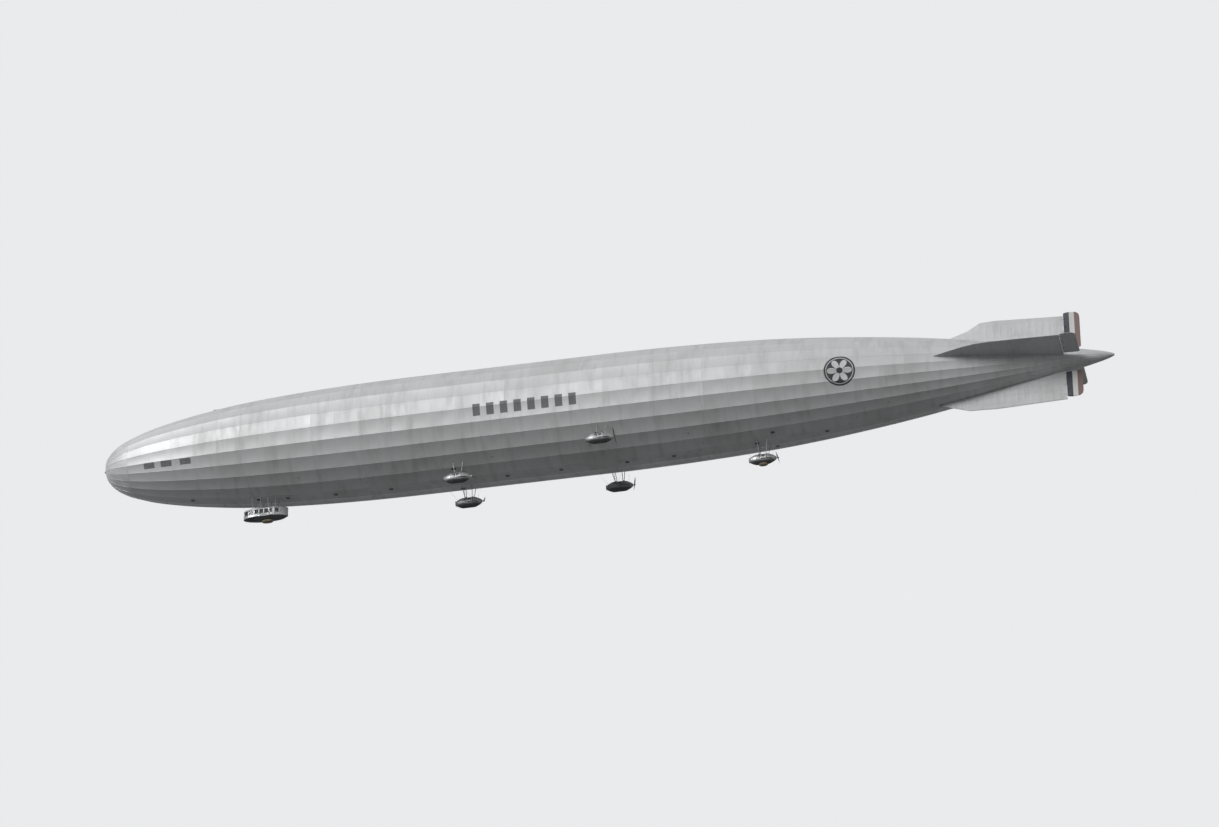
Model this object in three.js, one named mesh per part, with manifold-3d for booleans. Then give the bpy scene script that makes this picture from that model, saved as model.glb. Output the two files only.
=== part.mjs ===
// A rigid airship of the 1920s, modelled at one tenth of its real size.
// It flies level: +X is forward, +Y is port, +Z is up, and all lengths below are in millimetres of the model.
// The origin lies on the axis of the hull at the centre of buoyancy, which is where the air carries the ship.
import * as THREE from "three";
import { ConvexGeometry } from "three/addons/geometries/ConvexGeometry.js";
import { mergeVertices } from "three/addons/utils/BufferGeometryUtils.js";
import Module from "manifold-3d";

const wasm = await Module();
wasm.setup();

// One metre of the real airship, in millimetres of the 1:10 model
const M = 100;
// Frames are counted in real metres forward of the rudder post, and the origin is at this frame
const ORIGIN_FRAME = 98;
// The hull is a ring of 25 flat sides, with a corner at the top and a flat side along the keel
const HULL_SIDES = 25;
const HULL_WALL = 0.1 * M;
// Gap between two pieces that touch, and least room between a moving piece and its neighbours
const SEAT = 0.3;
const CLEAR = 0.05 * M;

// Hull outline: frame in metres forward of the rudder post, radius in metres from the axis to a corner
const HULL = [
  [196.1, 0.7],
  [195.7, 2.1],
  [194.8, 3.35],
  [193, 4.75],
  [190, 6.2],
  [186, 7.5],
  [180, 8.8],
  [174, 9.75],
  [168, 10.5],
  [160, 11.15],
  [150, 11.65],
  [140, 11.92],
  [130, 12],
  [90, 12],
  [80, 11.88],
  [70, 11.6],
  [60, 11.15],
  [50, 10.42],
  [40, 9.4],
  [30, 8.15],
  [20, 6.6],
  [10, 4.65],
  [-1, 2.5],
  [-5, 1.72],
  [-9.6, 0.65],
  [-10.76, 0.2],
].map(([frame, radius]) => ({ frame, radius }));

// The cover is laced up in these lengths, from frame to frame
const NOSE_FRAME = 196.1;
const CAP_FRAME = 190;
const POST_FRAME = -1;
const COVERS = [
  { name: "bow_cover", front: CAP_FRAME, back: 150 },
  { name: "forward_cover", front: 150, back: 110 },
  { name: "midship_cover", front: 110, back: 70 },
  { name: "aft_cover", front: 70, back: 30 },
  { name: "stern_cover", front: 30, back: POST_FRAME },
];
// Panels laced into the cover about the hatches of the midship cars, between two frames and two corners,
// counted from the corner on top, down the port side
const HATCH_PANELS = [
  { name: "port_hatch_panel", front: 95, back: 90, from: 9, to: 11 },
  { name: "starboard_hatch_panel", front: 95, back: 90, from: 14, to: 16 },
];

const at = (frame) => (frame - ORIGIN_FRAME) * M;

// Radius of the hull's corners at a frame, in millimetres
function hullRadius(frame) {
  const next = HULL.findIndex((row) => row.frame <= frame);
  if (next <= 0) return HULL[0].radius * M;
  const a = HULL[next - 1];
  const b = HULL[next];
  const share = (a.frame - frame) / (a.frame - b.frame);
  return (a.radius + (b.radius - a.radius) * share) * M;
}

// Solids

function toSolid(geometry) {
  const bare = new THREE.BufferGeometry();
  bare.setAttribute("position", geometry.getAttribute("position").clone());
  if (geometry.index) bare.setIndex(geometry.index);
  const merged = mergeVertices(bare, 1e-3);
  const index = merged.index.array;
  const faces = [];
  for (let i = 0; i < index.length; i += 3) {
    const [a, b, c] = [index[i], index[i + 1], index[i + 2]];
    if (a !== b && b !== c && c !== a) faces.push(a, b, c);
  }
  const mesh = (triangles) =>
    new wasm.Manifold(
      new wasm.Mesh({
        numProp: 3,
        vertProperties: new Float32Array(merged.attributes.position.array),
        triVerts: new Uint32Array(triangles),
      }),
    );
  const solid = mesh(faces);
  if (solid.volume() > 0) return solid;
  for (let i = 0; i < faces.length; i += 3) {
    [faces[i + 1], faces[i + 2]] = [faces[i + 2], faces[i + 1]];
  }
  return mesh(faces);
}

function toGeometry(solid) {
  const mesh = solid.getMesh();
  const stride = mesh.numProp;
  const corners = new Float32Array(mesh.triVerts.length * 3);
  mesh.triVerts.forEach((vertex, i) => {
    corners.set(mesh.vertProperties.subarray(vertex * stride, vertex * stride + 3), i * 3);
  });
  const geometry = new THREE.BufferGeometry();
  geometry.setAttribute("position", new THREE.BufferAttribute(corners, 3));
  geometry.computeVertexNormals();
  return geometry;
}

const join = (solids) => solids.reduce((whole, next) => whole.add(next));
const cut = (solid, tools) => tools.reduce((left, tool) => left.subtract(tool), solid);
const vec = (x, y, z) => new THREE.Vector3(x, y, z);

// A box between two opposite corners
function box([x0, y0, z0], [x1, y1, z1]) {
  const geometry = new THREE.BoxGeometry(x1 - x0, y1 - y0, z1 - z0);
  geometry.translate((x0 + x1) / 2, (y0 + y1) / 2, (z0 + z1) / 2);
  return toSolid(geometry);
}

// A closed outline turned about the X axis: each point is [x, radius], and a corner of the ring points up
function turned(profile, sides = HULL_SIDES) {
  const points = profile.map(([x, radius]) => new THREE.Vector2(radius, x));
  const geometry = new THREE.LatheGeometry(points, sides);
  geometry.rotateZ(-Math.PI / 2);
  return geometry;
}

// A member from a to b with its wider side along X, streamlined as a flat six-sided bar or else square
function member(a, b, chord, thickness, square = false) {
  const unit = square
    ? new THREE.BoxGeometry(1, 1, 1)
    : new THREE.CylinderGeometry(0.5, 0.5, 1, 6);
  const along = b.clone().sub(a);
  const length = along.length();
  along.normalize();
  const forward = vec(1, 0, 0);
  if (Math.abs(along.x) > 0.9) forward.set(0, 1, 0);
  forward.addScaledVector(along, -forward.dot(along)).normalize();
  const across = forward.clone().cross(along);
  const placed = new THREE.Matrix4().makeBasis(
    forward.multiplyScalar(chord),
    along.multiplyScalar(length),
    across.multiplyScalar(thickness),
  );
  placed.setPosition(a.clone().add(b).multiplyScalar(0.5));
  unit.applyMatrix4(placed);
  return toSolid(unit);
}

const convex = (points) => toSolid(new ConvexGeometry(points));

// Materials

const paint = (color, roughness, metalness) =>
  new THREE.MeshStandardMaterial({ color, roughness, metalness });
const finishes = {
  cover: paint(0xb4b6b6, 0.55, 0.25),
  cap: paint(0x9ea2a4, 0.4, 0.7),
  rudder_cover: paint(0xa9acae, 0.55, 0.2),
  steel: paint(0x6f7376, 0.45, 0.8),
  car_panel: paint(0x8f9496, 0.42, 0.75),
  glass: paint(0x36424a, 0.08, 0),
  core: paint(0x3a3f42, 0.6, 0.6),
  engine: paint(0x34373a, 0.6, 0.6),
  propeller: paint(0x6b4326, 0.35, 0),
  instrument: paint(0x4f3a26, 0.5, 0),
  bumper: paint(0x5a4c3c, 0.8, 0),
};

const ship = new THREE.Group();

function place(name, solid, finish) {
  const mesh = new THREE.Mesh(toGeometry(solid), finishes[finish]);
  mesh.name = name;
  ship.add(mesh);
}

// Hull

// The whole outside of the hull as one solid, wider than the cover by a margin, which trims what stands on it
function hullOutside(margin) {
  const rows = HULL.map(({ frame, radius }) => [at(frame), radius * M + margin]);
  const nose = [at(NOSE_FRAME) + margin, 0];
  const tail = [at(HULL[HULL.length - 1].frame) - margin, 0];
  rows[0][0] += margin;
  rows[rows.length - 1][0] -= margin;
  return toSolid(turned([nose, ...rows, tail]));
}
const hullTrim = hullOutside(SEAT);

// An open length of the cover between two frames, ending half a seat short of each
function coverLength(front, back) {
  const rows = HULL.filter((row) => row.frame < front && row.frame > back);
  const stations = [
    [at(front) - SEAT / 2, hullRadius(front)],
    ...rows.map((row) => [at(row.frame), row.radius * M]),
    [at(back) + SEAT / 2, hullRadius(back)],
  ];
  const inner = stations.map(([x, radius]) => [x, radius - HULL_WALL]).reverse();
  return toSolid(turned([...stations, ...inner, stations[0]]));
}

// A wedge of the hull between a panel's frames and corners, wider than the panel by a margin on every side
function panelWedge({ front, back, from, to }, margin) {
  const [a, b] = [from, to].map((corner) => (corner * 2 * Math.PI) / HULL_SIDES);
  const outward = (turn, reach) => [Math.sin(turn) * reach, Math.cos(turn) * reach];
  const apex = outward((a + b) / 2, -margin / Math.sin((b - a) / 2));
  const far = [a, b].map((turn) => outward(turn, 2 * hullRadius(front)));
  const outline = [apex, ...far.map(([y, z]) => [apex[0] + y, apex[1] + z])];
  const ends = [at(back) - margin, at(front) + margin];
  return convex(ends.flatMap((x) => outline.map(([y, z]) => vec(x, y, z))));
}

// The metal cap of the nose, a bowl that opens aft
function noseCap() {
  const rows = HULL.filter((row) => row.frame > CAP_FRAME);
  const outer = rows.map((row) => [at(row.frame), row.radius * M]);
  const rim = [at(CAP_FRAME) + SEAT / 2, hullRadius(CAP_FRAME)];
  const wall = 1.6 * HULL_WALL;
  const inner = rows.slice(1).map((row) => [at(row.frame) - wall, row.radius * M - wall]);
  inner.push([rim[0], rim[1] - HULL_WALL]);
  const profile = [[outer[0][0], 0], ...outer, rim, ...inner.reverse()];
  profile.push([at(HULL[1].frame) - wall, 0]);
  return toSolid(turned(profile));
}

// The pointed cone behind the rudder post, which opens forward
function tailCone() {
  const rows = HULL.filter((row) => row.frame < POST_FRAME);
  const rim = [at(POST_FRAME) - SEAT / 2, hullRadius(POST_FRAME)];
  const outer = rows.map((row) => [at(row.frame), row.radius * M]);
  const tip = outer[outer.length - 1];
  const inner = [
    [at(-9), 0],
    [at(-5), hullRadius(-5) - HULL_WALL],
    [rim[0], rim[1] - HULL_WALL],
  ];
  return toSolid(turned([...inner, rim, ...outer, [tip[0], 0]]));
}

// Cars and their hatches

// Power cars: the frame of the middle, metres to port and up from the hull's axis, and the turn of the blades
const CARS = [
  { name: "port_forward", frame: 121, port: 4.9, height: -14.05, turn: 70 },
  { name: "starboard_forward", frame: 121, port: -4.9, height: -14.05, turn: 40 },
  { name: "port_midship", frame: 91, port: 9.5, height: -11.5, turn: 115 },
  { name: "starboard_midship", frame: 91, port: -9.5, height: -11.5, turn: 20 },
  { name: "aft", frame: 60, port: 0, height: -14.85, turn: 90 },
];
// Outline of a power car: distance forward of its middle, half width and half height, in metres
const CAR_STATIONS = [
  [2.7, 0.42, 0.45],
  [2.35, 0.64, 0.7],
  [1.2, 0.95, 1.1],
  [-0.9, 0.95, 1.1],
  [-1.9, 0.64, 0.77],
  [-2.5, 0.33, 0.4],
  [-2.7, 0.18, 0.2],
].map(([forward, half, rise]) => ({ forward, half, rise }));
const CAR_SIDES = 14;
const CAR_WALL = 0.05 * M;
const HOOPS = [0.62, -0.8];
// A ladder stands at the back of its hatches, this far forward of a car's middle
const CAR_LADDER = 0.9;
const CONTROL_LADDER = 1.3;
const HATCH = { ahead: 0.65, behind: 0.15, half: 0.3 };

// Control car: its middle, its plan from nose to tail in metres, and its levels from the hull's axis
const CONTROL_FRAME = 162;
const CONTROL_PLAN = [
  [4.6, 0.05],
  [4.3, 0.5],
  [3.4, 0.95],
  [2.2, 1.2],
  [-2, 1.2],
  [-3.6, 0.8],
  [-4.6, 0.15],
].map(([forward, half]) => ({ forward, half }));
const CONTROL_WALL = 0.05 * M;
const BELLY = -15.75 * M;
const CHINE = -15.3 * M;
const CONTROL_FLOOR = CHINE + 0.02 * M;
const EAVES = -13.45 * M;
const ROOF_TOP = -13.22 * M;

// A piece drawn about the middle of a car, turned about X by an angle and carried to its place
const placing = (x, y, z, angle = 0) =>
  new THREE.Matrix4().makeRotationX(angle).setPosition(x, y, z);
function carPlacing(car, angle = 0) {
  return placing(at(car.frame), car.port * M, car.height * M, angle);
}
// The angle from straight down to a car, seen from the hull's axis, and its distance from the axis
const carAngle = (car) => Math.atan2(car.port, -car.height);
const carReach = (car) => Math.hypot(car.port, car.height) * M;

// A square hole about a ladder, between two heights of the frame that the ladder stands in
function hatchTool(ladder, low, high) {
  const [back, front] = [(ladder - HATCH.behind) * M, (ladder + HATCH.ahead) * M];
  return box([back, -HATCH.half * M, low], [front, HATCH.half * M, high]);
}

function moved(solid, matrix) {
  return solid.transform([...matrix.elements]);
}

// A hatch through the cover, from below the hull's surface to well inside it
const coverHatch = (ladder, surface) => hatchTool(ladder, surface - 0.4 * M, surface + 0.6 * M);
const carSurface = (car) => carReach(car) - hullRadius(car.frame);
const hullHatches = CARS.map((car) =>
  moved(coverHatch(CAR_LADDER, carSurface(car)), carPlacing(car, carAngle(car))),
);
const controlPlacing = placing(at(CONTROL_FRAME), 0, 0);
const controlSurface = -hullRadius(CONTROL_FRAME);
hullHatches.push(moved(coverHatch(CONTROL_LADDER, controlSurface), controlPlacing));

place("nose_cap", noseCap(), "cap");
for (const { name, front, back } of COVERS) {
  const within = HATCH_PANELS.filter((panel) => panel.front < front && panel.back > back);
  const windows = within.map((panel) => panelWedge(panel, SEAT / 2));
  place(name, cut(coverLength(front, back), [...windows, ...hullHatches]), "cover");
}
for (const panel of HATCH_PANELS) {
  const cloth = coverLength(panel.front, panel.back).intersect(panelWedge(panel, -SEAT / 2));
  place(panel.name, cut(cloth, hullHatches), "cover");
}
place("tail_cone", tailCone(), "cover");

// The spindle that the ship moors by, a flange and a pin with a flat end, on the point of the nose
function mooringSpindle() {
  const foot = at(NOSE_FRAME) + SEAT;
  const profile = [
    [0, 0],
    [0, 0.55],
    [0.07, 0.55],
    [0.14, 0.3],
    [0.3, 0.2],
    [0.4, 0.2],
    [0.4, 0],
  ].map(([forward, radius]) => [foot + forward * M, radius * M]);
  return toSolid(turned(profile, 20));
}
place("mooring_spindle", mooringSpindle(), "steel");

// The lookout's deck on top of the bow
const DECK = { frame: 172, ahead: 1.3, half: 0.85, rise: 0.3 };
function topPlatform() {
  const top = hullRadius(DECK.frame);
  const [middle, ahead, half] = [at(DECK.frame), DECK.ahead * M, DECK.half * M];
  const high = hullRadius(DECK.frame - DECK.ahead) + DECK.rise * M;
  const deck = box([middle - ahead, -half, top - 0.5 * M], [middle + ahead, half, high]);
  return deck.subtract(hullTrim);
}
place("top_platform", topPlatform(), "steel");

// Tail surfaces

// Each fin is drawn pointing up and then turned about X by quarter turns: to port is one turn back.
// Each row has the distance from the hull's axis of the fin's shoulder, of its tip and of the end of its flap
const TAIL = [
  { side: "upper", flap: "rudder", quarters: 0, shoulder: 11.1, tip: 10.3, end: 11.1 },
  { side: "port", flap: "elevator", quarters: -1, shoulder: 10, tip: 9.5, end: 9.95 },
  { side: "lower", flap: "rudder", quarters: 2, shoulder: 9.5, tip: 9.1, end: 8.6 },
  { side: "starboard", flap: "elevator", quarters: 1, shoulder: 10, tip: 9.5, end: 9.95 },
];
const FIN_FRONT = 27;
const FIN_BACK = POST_FRAME;
const SHOULDER_FRAME = 14;
// The flaps turn about pins behind the fins' back edge
const HINGE_FRAME = FIN_BACK - 0.17;
const FLAP_CHORD = 3.1;
const FLAP_NOSE = 0.12 * M;
const FLAP_ROOT = 2.8;
const PIN = 0.04 * M;
const PIN_REACH = 0.3 * M;
const BRACKET = 0.03 * M;
const HINGES = [0.08, 0.5, 0.88];

const quarterTurn = (quarters) => placing(0, 0, 0, (quarters * Math.PI) / 2);
function hingeSpans(tail) {
  const reach = Math.min(tail.tip, tail.end) - FLAP_ROOT;
  return HINGES.map((share) => (FLAP_ROOT + reach * share) * M);
}

// A fin without its hinges: thin at its outline and thicker along its inner ribs, grown sideways by a margin
function finBlade(tail, margin = 0) {
  const outline = [
    [FIN_FRONT, 6.4, 0.05],
    [FIN_FRONT - 8.6, 9.25, 0.05],
    [SHOULDER_FRAME + 1.6, tail.shoulder - 0.15, 0.05],
    [SHOULDER_FRAME - 1, tail.shoulder, 0.05],
    [FIN_BACK, tail.tip, 0.06],
    [FIN_BACK, tail.tip - 0.3, 0.13],
    [FIN_BACK, 1.2, 0.13],
    [FIN_FRONT - 3, 1.2, 0.2],
    [FIN_FRONT - 6, 7, 0.2],
    [SHOULDER_FRAME, tail.shoulder - 1.2, 0.2],
    [FIN_BACK + 2, tail.tip - 1.2, 0.18],
    [FIN_BACK + 2, 1.2, 0.22],
  ];
  const points = [];
  for (const [frame, span, half] of outline) {
    for (const side of [-1, 1]) points.push(vec(at(frame), side * (half * M + margin), span * M));
  }
  return convex(points);
}

// A pin along the hinge, drawn upright about a height
function hingePin(middle, reach, radius) {
  const geometry = new THREE.CylinderGeometry(radius, radius, 2 * reach, 12);
  geometry.rotateX(Math.PI / 2);
  geometry.translate(at(HINGE_FRAME), 0, middle);
  return toSolid(geometry);
}

function fin(tail) {
  const [half, front] = [0.06 * M, at(FIN_BACK) + 0.1 * M];
  const back = at(HINGE_FRAME) - PIN;
  const hinges = hingeSpans(tail).map((span) =>
    box([back, -half, span - BRACKET], [front, half, span + BRACKET]).add(
      hingePin(span, PIN_REACH, PIN),
    ),
  );
  const blade = finBlade(tail).subtract(moved(hullTrim, quarterTurn(-tail.quarters)));
  return moved(join([blade, ...hinges]), quarterTurn(tail.quarters));
}

// A rudder or elevator: a round nose about the hinge and a thin back edge, notched and bored for the pins
function flap(tail) {
  const hinge = at(HINGE_FRAME);
  const back = hinge - FLAP_CHORD * M;
  const top = tail.end * M;
  const points = [];
  for (let i = 0; i < 12; i += 1) {
    const angle = (i * Math.PI) / 6;
    const [forward, side] = [FLAP_NOSE * Math.cos(angle), FLAP_NOSE * Math.sin(angle)];
    points.push(vec(hinge + forward, side, FLAP_ROOT * M));
    points.push(vec(hinge + forward, side, top - 0.25 * M));
  }
  for (const side of [-1, 1]) {
    points.push(vec(hinge - 0.2 * M, side * 0.06 * M, top - 0.08 * M));
    points.push(vec(hinge - 0.9 * M, side * 0.04 * M, top));
    points.push(vec(hinge - 2.3 * M, side * 0.04 * M, top - 0.1 * M));
    points.push(vec(back + 0.15 * M, side * 0.03 * M, top - 0.55 * M));
    points.push(vec(back, side * 0.02 * M, top - 1.3 * M));
    points.push(vec(back, side * 0.02 * M, (FLAP_ROOT + 0.1) * M));
    points.push(vec(back + 0.4 * M, side * 0.04 * M, (FLAP_ROOT - 0.15) * M));
  }
  const tools = hingeSpans(tail).flatMap((span) => [
    box(
      [hinge - PIN - 1.7 * CLEAR, -FLAP_NOSE * 2, span - BRACKET - CLEAR],
      [hinge + FLAP_NOSE * 2, FLAP_NOSE * 2, span + BRACKET + CLEAR],
    ),
    hingePin(span, PIN_REACH + SEAT * 4, PIN + SEAT),
  ]);
  return moved(cut(convex(points), tools), quarterTurn(tail.quarters));
}

for (const tail of TAIL) {
  place(`${tail.side}_fin`, fin(tail), "cover");
  place(`${tail.side}_${tail.flap}`, flap(tail), "rudder_cover");
}

// One main stay between each two neighbouring fins, trimmed to their faces
const STAY = { frame: 8.5, span: 8.2, width: 0.02 * M };
TAIL.forEach((tail, i) => {
  const next = TAIL[(i + 1) % TAIL.length];
  const end = ({ quarters }) =>
    vec(at(STAY.frame), 0, STAY.span * M).applyMatrix4(quarterTurn(quarters));
  const blades = [tail, next].map((row) => moved(finBlade(row, SEAT), quarterTurn(row.quarters)));
  const wire = member(end(tail), end(next), STAY.width, STAY.width);
  place(`${tail.side}_to_${next.side}_stay`, cut(wire, blades), "steel");
});

// Power cars

// The outside of a power car, grown or shrunk by a margin
function carBody(margin) {
  const points = [];
  CAR_STATIONS.forEach(({ forward, half, rise }, i) => {
    const end = i === 0 ? margin : i === CAR_STATIONS.length - 1 ? -margin : 0;
    for (let k = 0; k < CAR_SIDES; k += 1) {
      const angle = ((k + 0.5) * 2 * Math.PI) / CAR_SIDES;
      const across = (half * M + margin) * Math.cos(angle);
      const up = (rise * M + margin) * Math.sin(angle);
      points.push(vec(forward * M + end, across, up));
    }
  });
  return convex(points);
}

// The engine, a plain block on two bearers, with a long bearing for the shaft at its back
const ENGINE = { front: 0.75, back: -0.95, half: 0.35, top: 0.5, bottom: -0.35, bearer: 0.12 };
const SHAFT = 0.06 * M;
const BEARING = { back: -1.35, radius: 0.13 * M, depth: 0.3 };

// A round bar along X, and the sides of one that cuts a bore
const BORE_SIDES = 20;
function bar(back, front, radius, sides = 10) {
  const profile = [
    [back, 0],
    [back, radius],
    [front, radius],
    [front, 0],
  ];
  return toSolid(turned(profile, sides));
}

function engine() {
  const { front, back, half, top, bottom, bearer } = ENGINE;
  const block = box([back * M, -half * M, bottom * M], [front * M, half * M, top * M]);
  const feet = [-1, 1].map((side) => {
    const middle = side * (half - bearer);
    return box(
      [(back + 0.1) * M, (middle - bearer / 2) * M, -1.2 * M],
      [(front - 0.1) * M, (middle + bearer / 2) * M, (bottom + 0.1) * M],
    );
  });
  const bearing = bar(BEARING.back * M, (back + 0.1) * M, BEARING.radius);
  const end = (BEARING.back + BEARING.depth) * M + SEAT;
  const bore = bar((BEARING.back - 0.1) * M, end, SHAFT + SEAT, BORE_SIDES);
  return join([block, ...feet, bearing]).subtract(bore).intersect(carBody(-CAR_WALL - SEAT));
}

// Blade sections from the hub outwards: radius, chord, thickness in metres and pitch in degrees
const BLADE = [
  [0.1, 0.2, 0.16, 62],
  [0.45, 0.26, 0.13, 48],
  [0.95, 0.36, 0.1, 34],
  [1.5, 0.38, 0.075, 24],
  [2.05, 0.3, 0.05, 18],
  [2.33, 0.17, 0.03, 16],
  [2.4, 0.05, 0.015, 16],
].map(([radius, chord, thickness, pitch]) => ({ radius, chord, thickness, pitch }));
const PROP_FORWARD = -2.95;

// One blade reaching up, as a skin over its sections with both ends closed
function blade() {
  const ring = 6;
  const positions = [];
  for (const { radius, chord, thickness, pitch } of BLADE) {
    const tilt = THREE.MathUtils.degToRad(pitch);
    for (let k = 0; k < ring; k += 1) {
      const angle = (k * 2 * Math.PI) / ring;
      const along = (chord / 2) * Math.cos(angle);
      const over = (thickness / 2) * Math.sin(angle);
      const x = along * Math.sin(tilt) + over * Math.cos(tilt);
      const y = along * Math.cos(tilt) - over * Math.sin(tilt);
      positions.push(x * M, y * M, radius * M);
    }
  }
  const faces = [];
  const last = (BLADE.length - 1) * ring;
  for (let i = 0; i < BLADE.length - 1; i += 1) {
    for (let k = 0; k < ring; k += 1) {
      const [a, b] = [i * ring + k, i * ring + ((k + 1) % ring)];
      faces.push(a, b, b + ring, a, b + ring, a + ring);
    }
  }
  for (let k = 1; k < ring - 1; k += 1) faces.push(0, k + 1, k, last, last + k, last + k + 1);
  const geometry = new THREE.BufferGeometry();
  geometry.setAttribute("position", new THREE.Float32BufferAttribute(positions, 3));
  geometry.setIndex(faces);
  return toSolid(geometry);
}

function propeller(turn) {
  const hub = bar((PROP_FORWARD - 0.14) * M, (PROP_FORWARD + 0.12) * M, 0.17 * M, 12);
  const cap = bar((PROP_FORWARD - 0.22) * M, PROP_FORWARD * M, 0.1 * M);
  const shaft = bar(PROP_FORWARD * M, (BEARING.back + BEARING.depth) * M, SHAFT);
  const forward = PROP_FORWARD * M;
  const blades = [0, 180].map((half) => {
    const angle = THREE.MathUtils.degToRad(half);
    return moved(blade(), placing(forward, 0, 0, angle));
  });
  const whole = join([hub, cap, shaft, ...blades]);
  return moved(whole, placing(0, 0, 0, THREE.MathUtils.degToRad(turn)));
}

// Windows in both sides of a power car, as stretches along it
const CAR_WINDOWS = [
  [0.95, 0.45],
  [0.15, -0.35],
];
const SHAFT_HOLE = SHAFT + 1.1 * CLEAR;

function carShell(car) {
  const hollow = carBody(-CAR_WALL);
  const windows = CAR_WINDOWS.map(([front, back]) =>
    box([back * M, -1.2 * M, 0.22 * M], [front * M, 1.2 * M, 0.62 * M]),
  );
  const tail = bar(-3 * M, -2.4 * M, SHAFT_HOLE, BORE_SIDES);
  const intake = box([2.5 * M, -0.28 * M, -0.3 * M], [2.8 * M, 0.28 * M, 0.3 * M]);
  const upright = placing(0, 0, 0, carAngle(car));
  const hatch = moved(hatchTool(CAR_LADDER, 0.55 * M, 1.6 * M), upright);
  return cut(carBody(0), [hollow, ...windows, tail, intake, hatch]);
}

// A ladder drawn upright: two rails and its rungs
function ladder(forward, low, high) {
  const [half, rail, step] = [0.2 * M, 0.03 * M, 0.4 * M];
  const x = forward * M;
  const rails = [-half, half].map((y) => box([x - rail, y - rail, low], [x + rail, y + rail, high]));
  const rungs = [];
  for (let z = low + step / 2; z < high; z += step) {
    rungs.push(box([x - rail / 2, -half, z - rail / 2], [x + rail / 2, half, z + rail / 2]));
  }
  return join([...rails, ...rungs]);
}

// Hoops over the car, rails between them, struts to the hull and the ladder, as one welded frame
const STRUT = { chord: 0.12 * M, thickness: 0.05 * M, spread: 1.9 };
const SHOULDER = { half: 0.83, rise: 0.7 };

function carFrame(car) {
  const upright = carPlacing(car);
  const radial = carPlacing(car, carAngle(car));
  const grown = carBody(0.12 * M);
  const [halfHoop, wide] = [0.07 * M, 2 * M];
  const hoops = HOOPS.map((forward) => {
    const [back, front] = [forward * M - halfHoop, forward * M + halfHoop];
    const slab = box([back, -wide, -0.25 * M], [front, wide, wide]);
    return moved(grown.intersect(slab), upright);
  });
  const surface = carSurface(car);
  const struts = [];
  const links = [];
  for (const side of [-1, 1]) {
    const shoulder = (forward) => vec(forward * M, side * SHOULDER.half * M, SHOULDER.rise * M);
    links.push(member(shoulder(HOOPS[0]), shoulder(HOOPS[1]), 0.08 * M, 0.08 * M, true));
    HOOPS.forEach((forward, i) => {
      const lean = i === 0 ? 0.35 : -0.35;
      const head = vec((forward + lean) * M, side * STRUT.spread * M, surface + 0.5 * M);
      struts.push(member(shoulder(forward), head, STRUT.chord, STRUT.thickness));
    });
    const level = 1.14 * M;
    const step = (forward) => vec(forward * M, side * 0.2 * M, level);
    links.push(member(step(HOOPS[0]), step(CAR_LADDER), 0.06 * M, 0.06 * M, true));
  }
  const rungs = ladder(CAR_LADDER, 0.9 * M, surface + 0.7 * M);
  const welded = join([...struts.map((one) => moved(one, radial)), ...hoops]).subtract(hullTrim);
  const inner = join([...links, rungs].map((one) => moved(one, radial)));
  return welded.add(inner).subtract(moved(carBody(SEAT), upright));
}

// The radiator block on the flat nose of the car
function radiator() {
  const face = CAR_STATIONS[0].forward * M + SEAT;
  return box([face, -0.38 * M, -0.4 * M], [face + 0.16 * M, 0.38 * M, 0.4 * M]);
}

for (const car of CARS) {
  const upright = carPlacing(car);
  place(`${car.name}_car`, moved(carShell(car), upright), "car_panel");
  place(`${car.name}_engine`, moved(engine(), upright), "engine");
  place(`${car.name}_radiator`, moved(radiator(), upright), "core");
  place(`${car.name}_propeller`, moved(propeller(car.turn), upright), "propeller");
  place(`${car.name}_struts`, carFrame(car), "steel");
}

// A bumping bag below a car, an air-filled cushion drawn as a plain egg
function bag(halfLength, half, low, high) {
  const geometry = new THREE.SphereGeometry(1, 16, 10);
  geometry.rotateX(Math.PI / 2);
  const rise = (high - low) / 2;
  geometry.scale(halfLength * M, half * M, rise);
  geometry.translate(0, 0, (low + high) / 2);
  return toSolid(geometry);
}
const KEEL_LEVEL = -16.4 * M;
const aftCar = CARS.find((car) => car.name === "aft");
const BAG_TOP = -15.65 * M;
const aftBag = moved(bag(0.95, 0.5, KEEL_LEVEL, BAG_TOP), placing(at(aftCar.frame), 0, 0));
place("aft_bumping_bag", aftBag.subtract(moved(carBody(SEAT), carPlacing(aftCar))), "bumper");

// Control car

// Points of the control car's plan at a level, with the width and length cut by a wall
function planRing(level, wall = 0, wide = 1, front = 0, back = 0) {
  const points = [];
  const first = CONTROL_PLAN[0].forward;
  const last = CONTROL_PLAN[CONTROL_PLAN.length - 1].forward;
  for (const { forward, half } of CONTROL_PLAN) {
    const share = (forward - last) / (first - last);
    const shift = -front * share + back * (1 - share);
    const trim = wall * (1 - 2 * share);
    const x = (forward + shift) * M + trim;
    const y = Math.max(half * wide * M - wall, 0.5);
    points.push(vec(x, y, level), vec(x, -y, level));
  }
  return points;
}

function controlOutside() {
  return convex([
    ...planRing(BELLY, 0, 0.55, 1.7, 0.7),
    ...planRing(CHINE),
    ...planRing(EAVES),
  ]);
}

// The room inside the walls, or a like block that stands in from them
function controlRoom(wall, low, high) {
  return convex([...planRing(low, wall), ...planRing(high, wall)]);
}

// Windows of the control car: stretches of both sides, and the two panes of the nose
const WINDOW_LOW = -14.6 * M;
const WINDOW_HIGH = -13.75 * M;
const SIDE_WINDOWS = [
  [4.2, 3.55],
  [3.3, 2.35],
  [2.05, 1.25],
  [1.05, 0.25],
  [0.05, -0.75],
  [-2.2, -2.9],
];
const NOSE_WINDOW = [0.1, 0.4];

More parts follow.
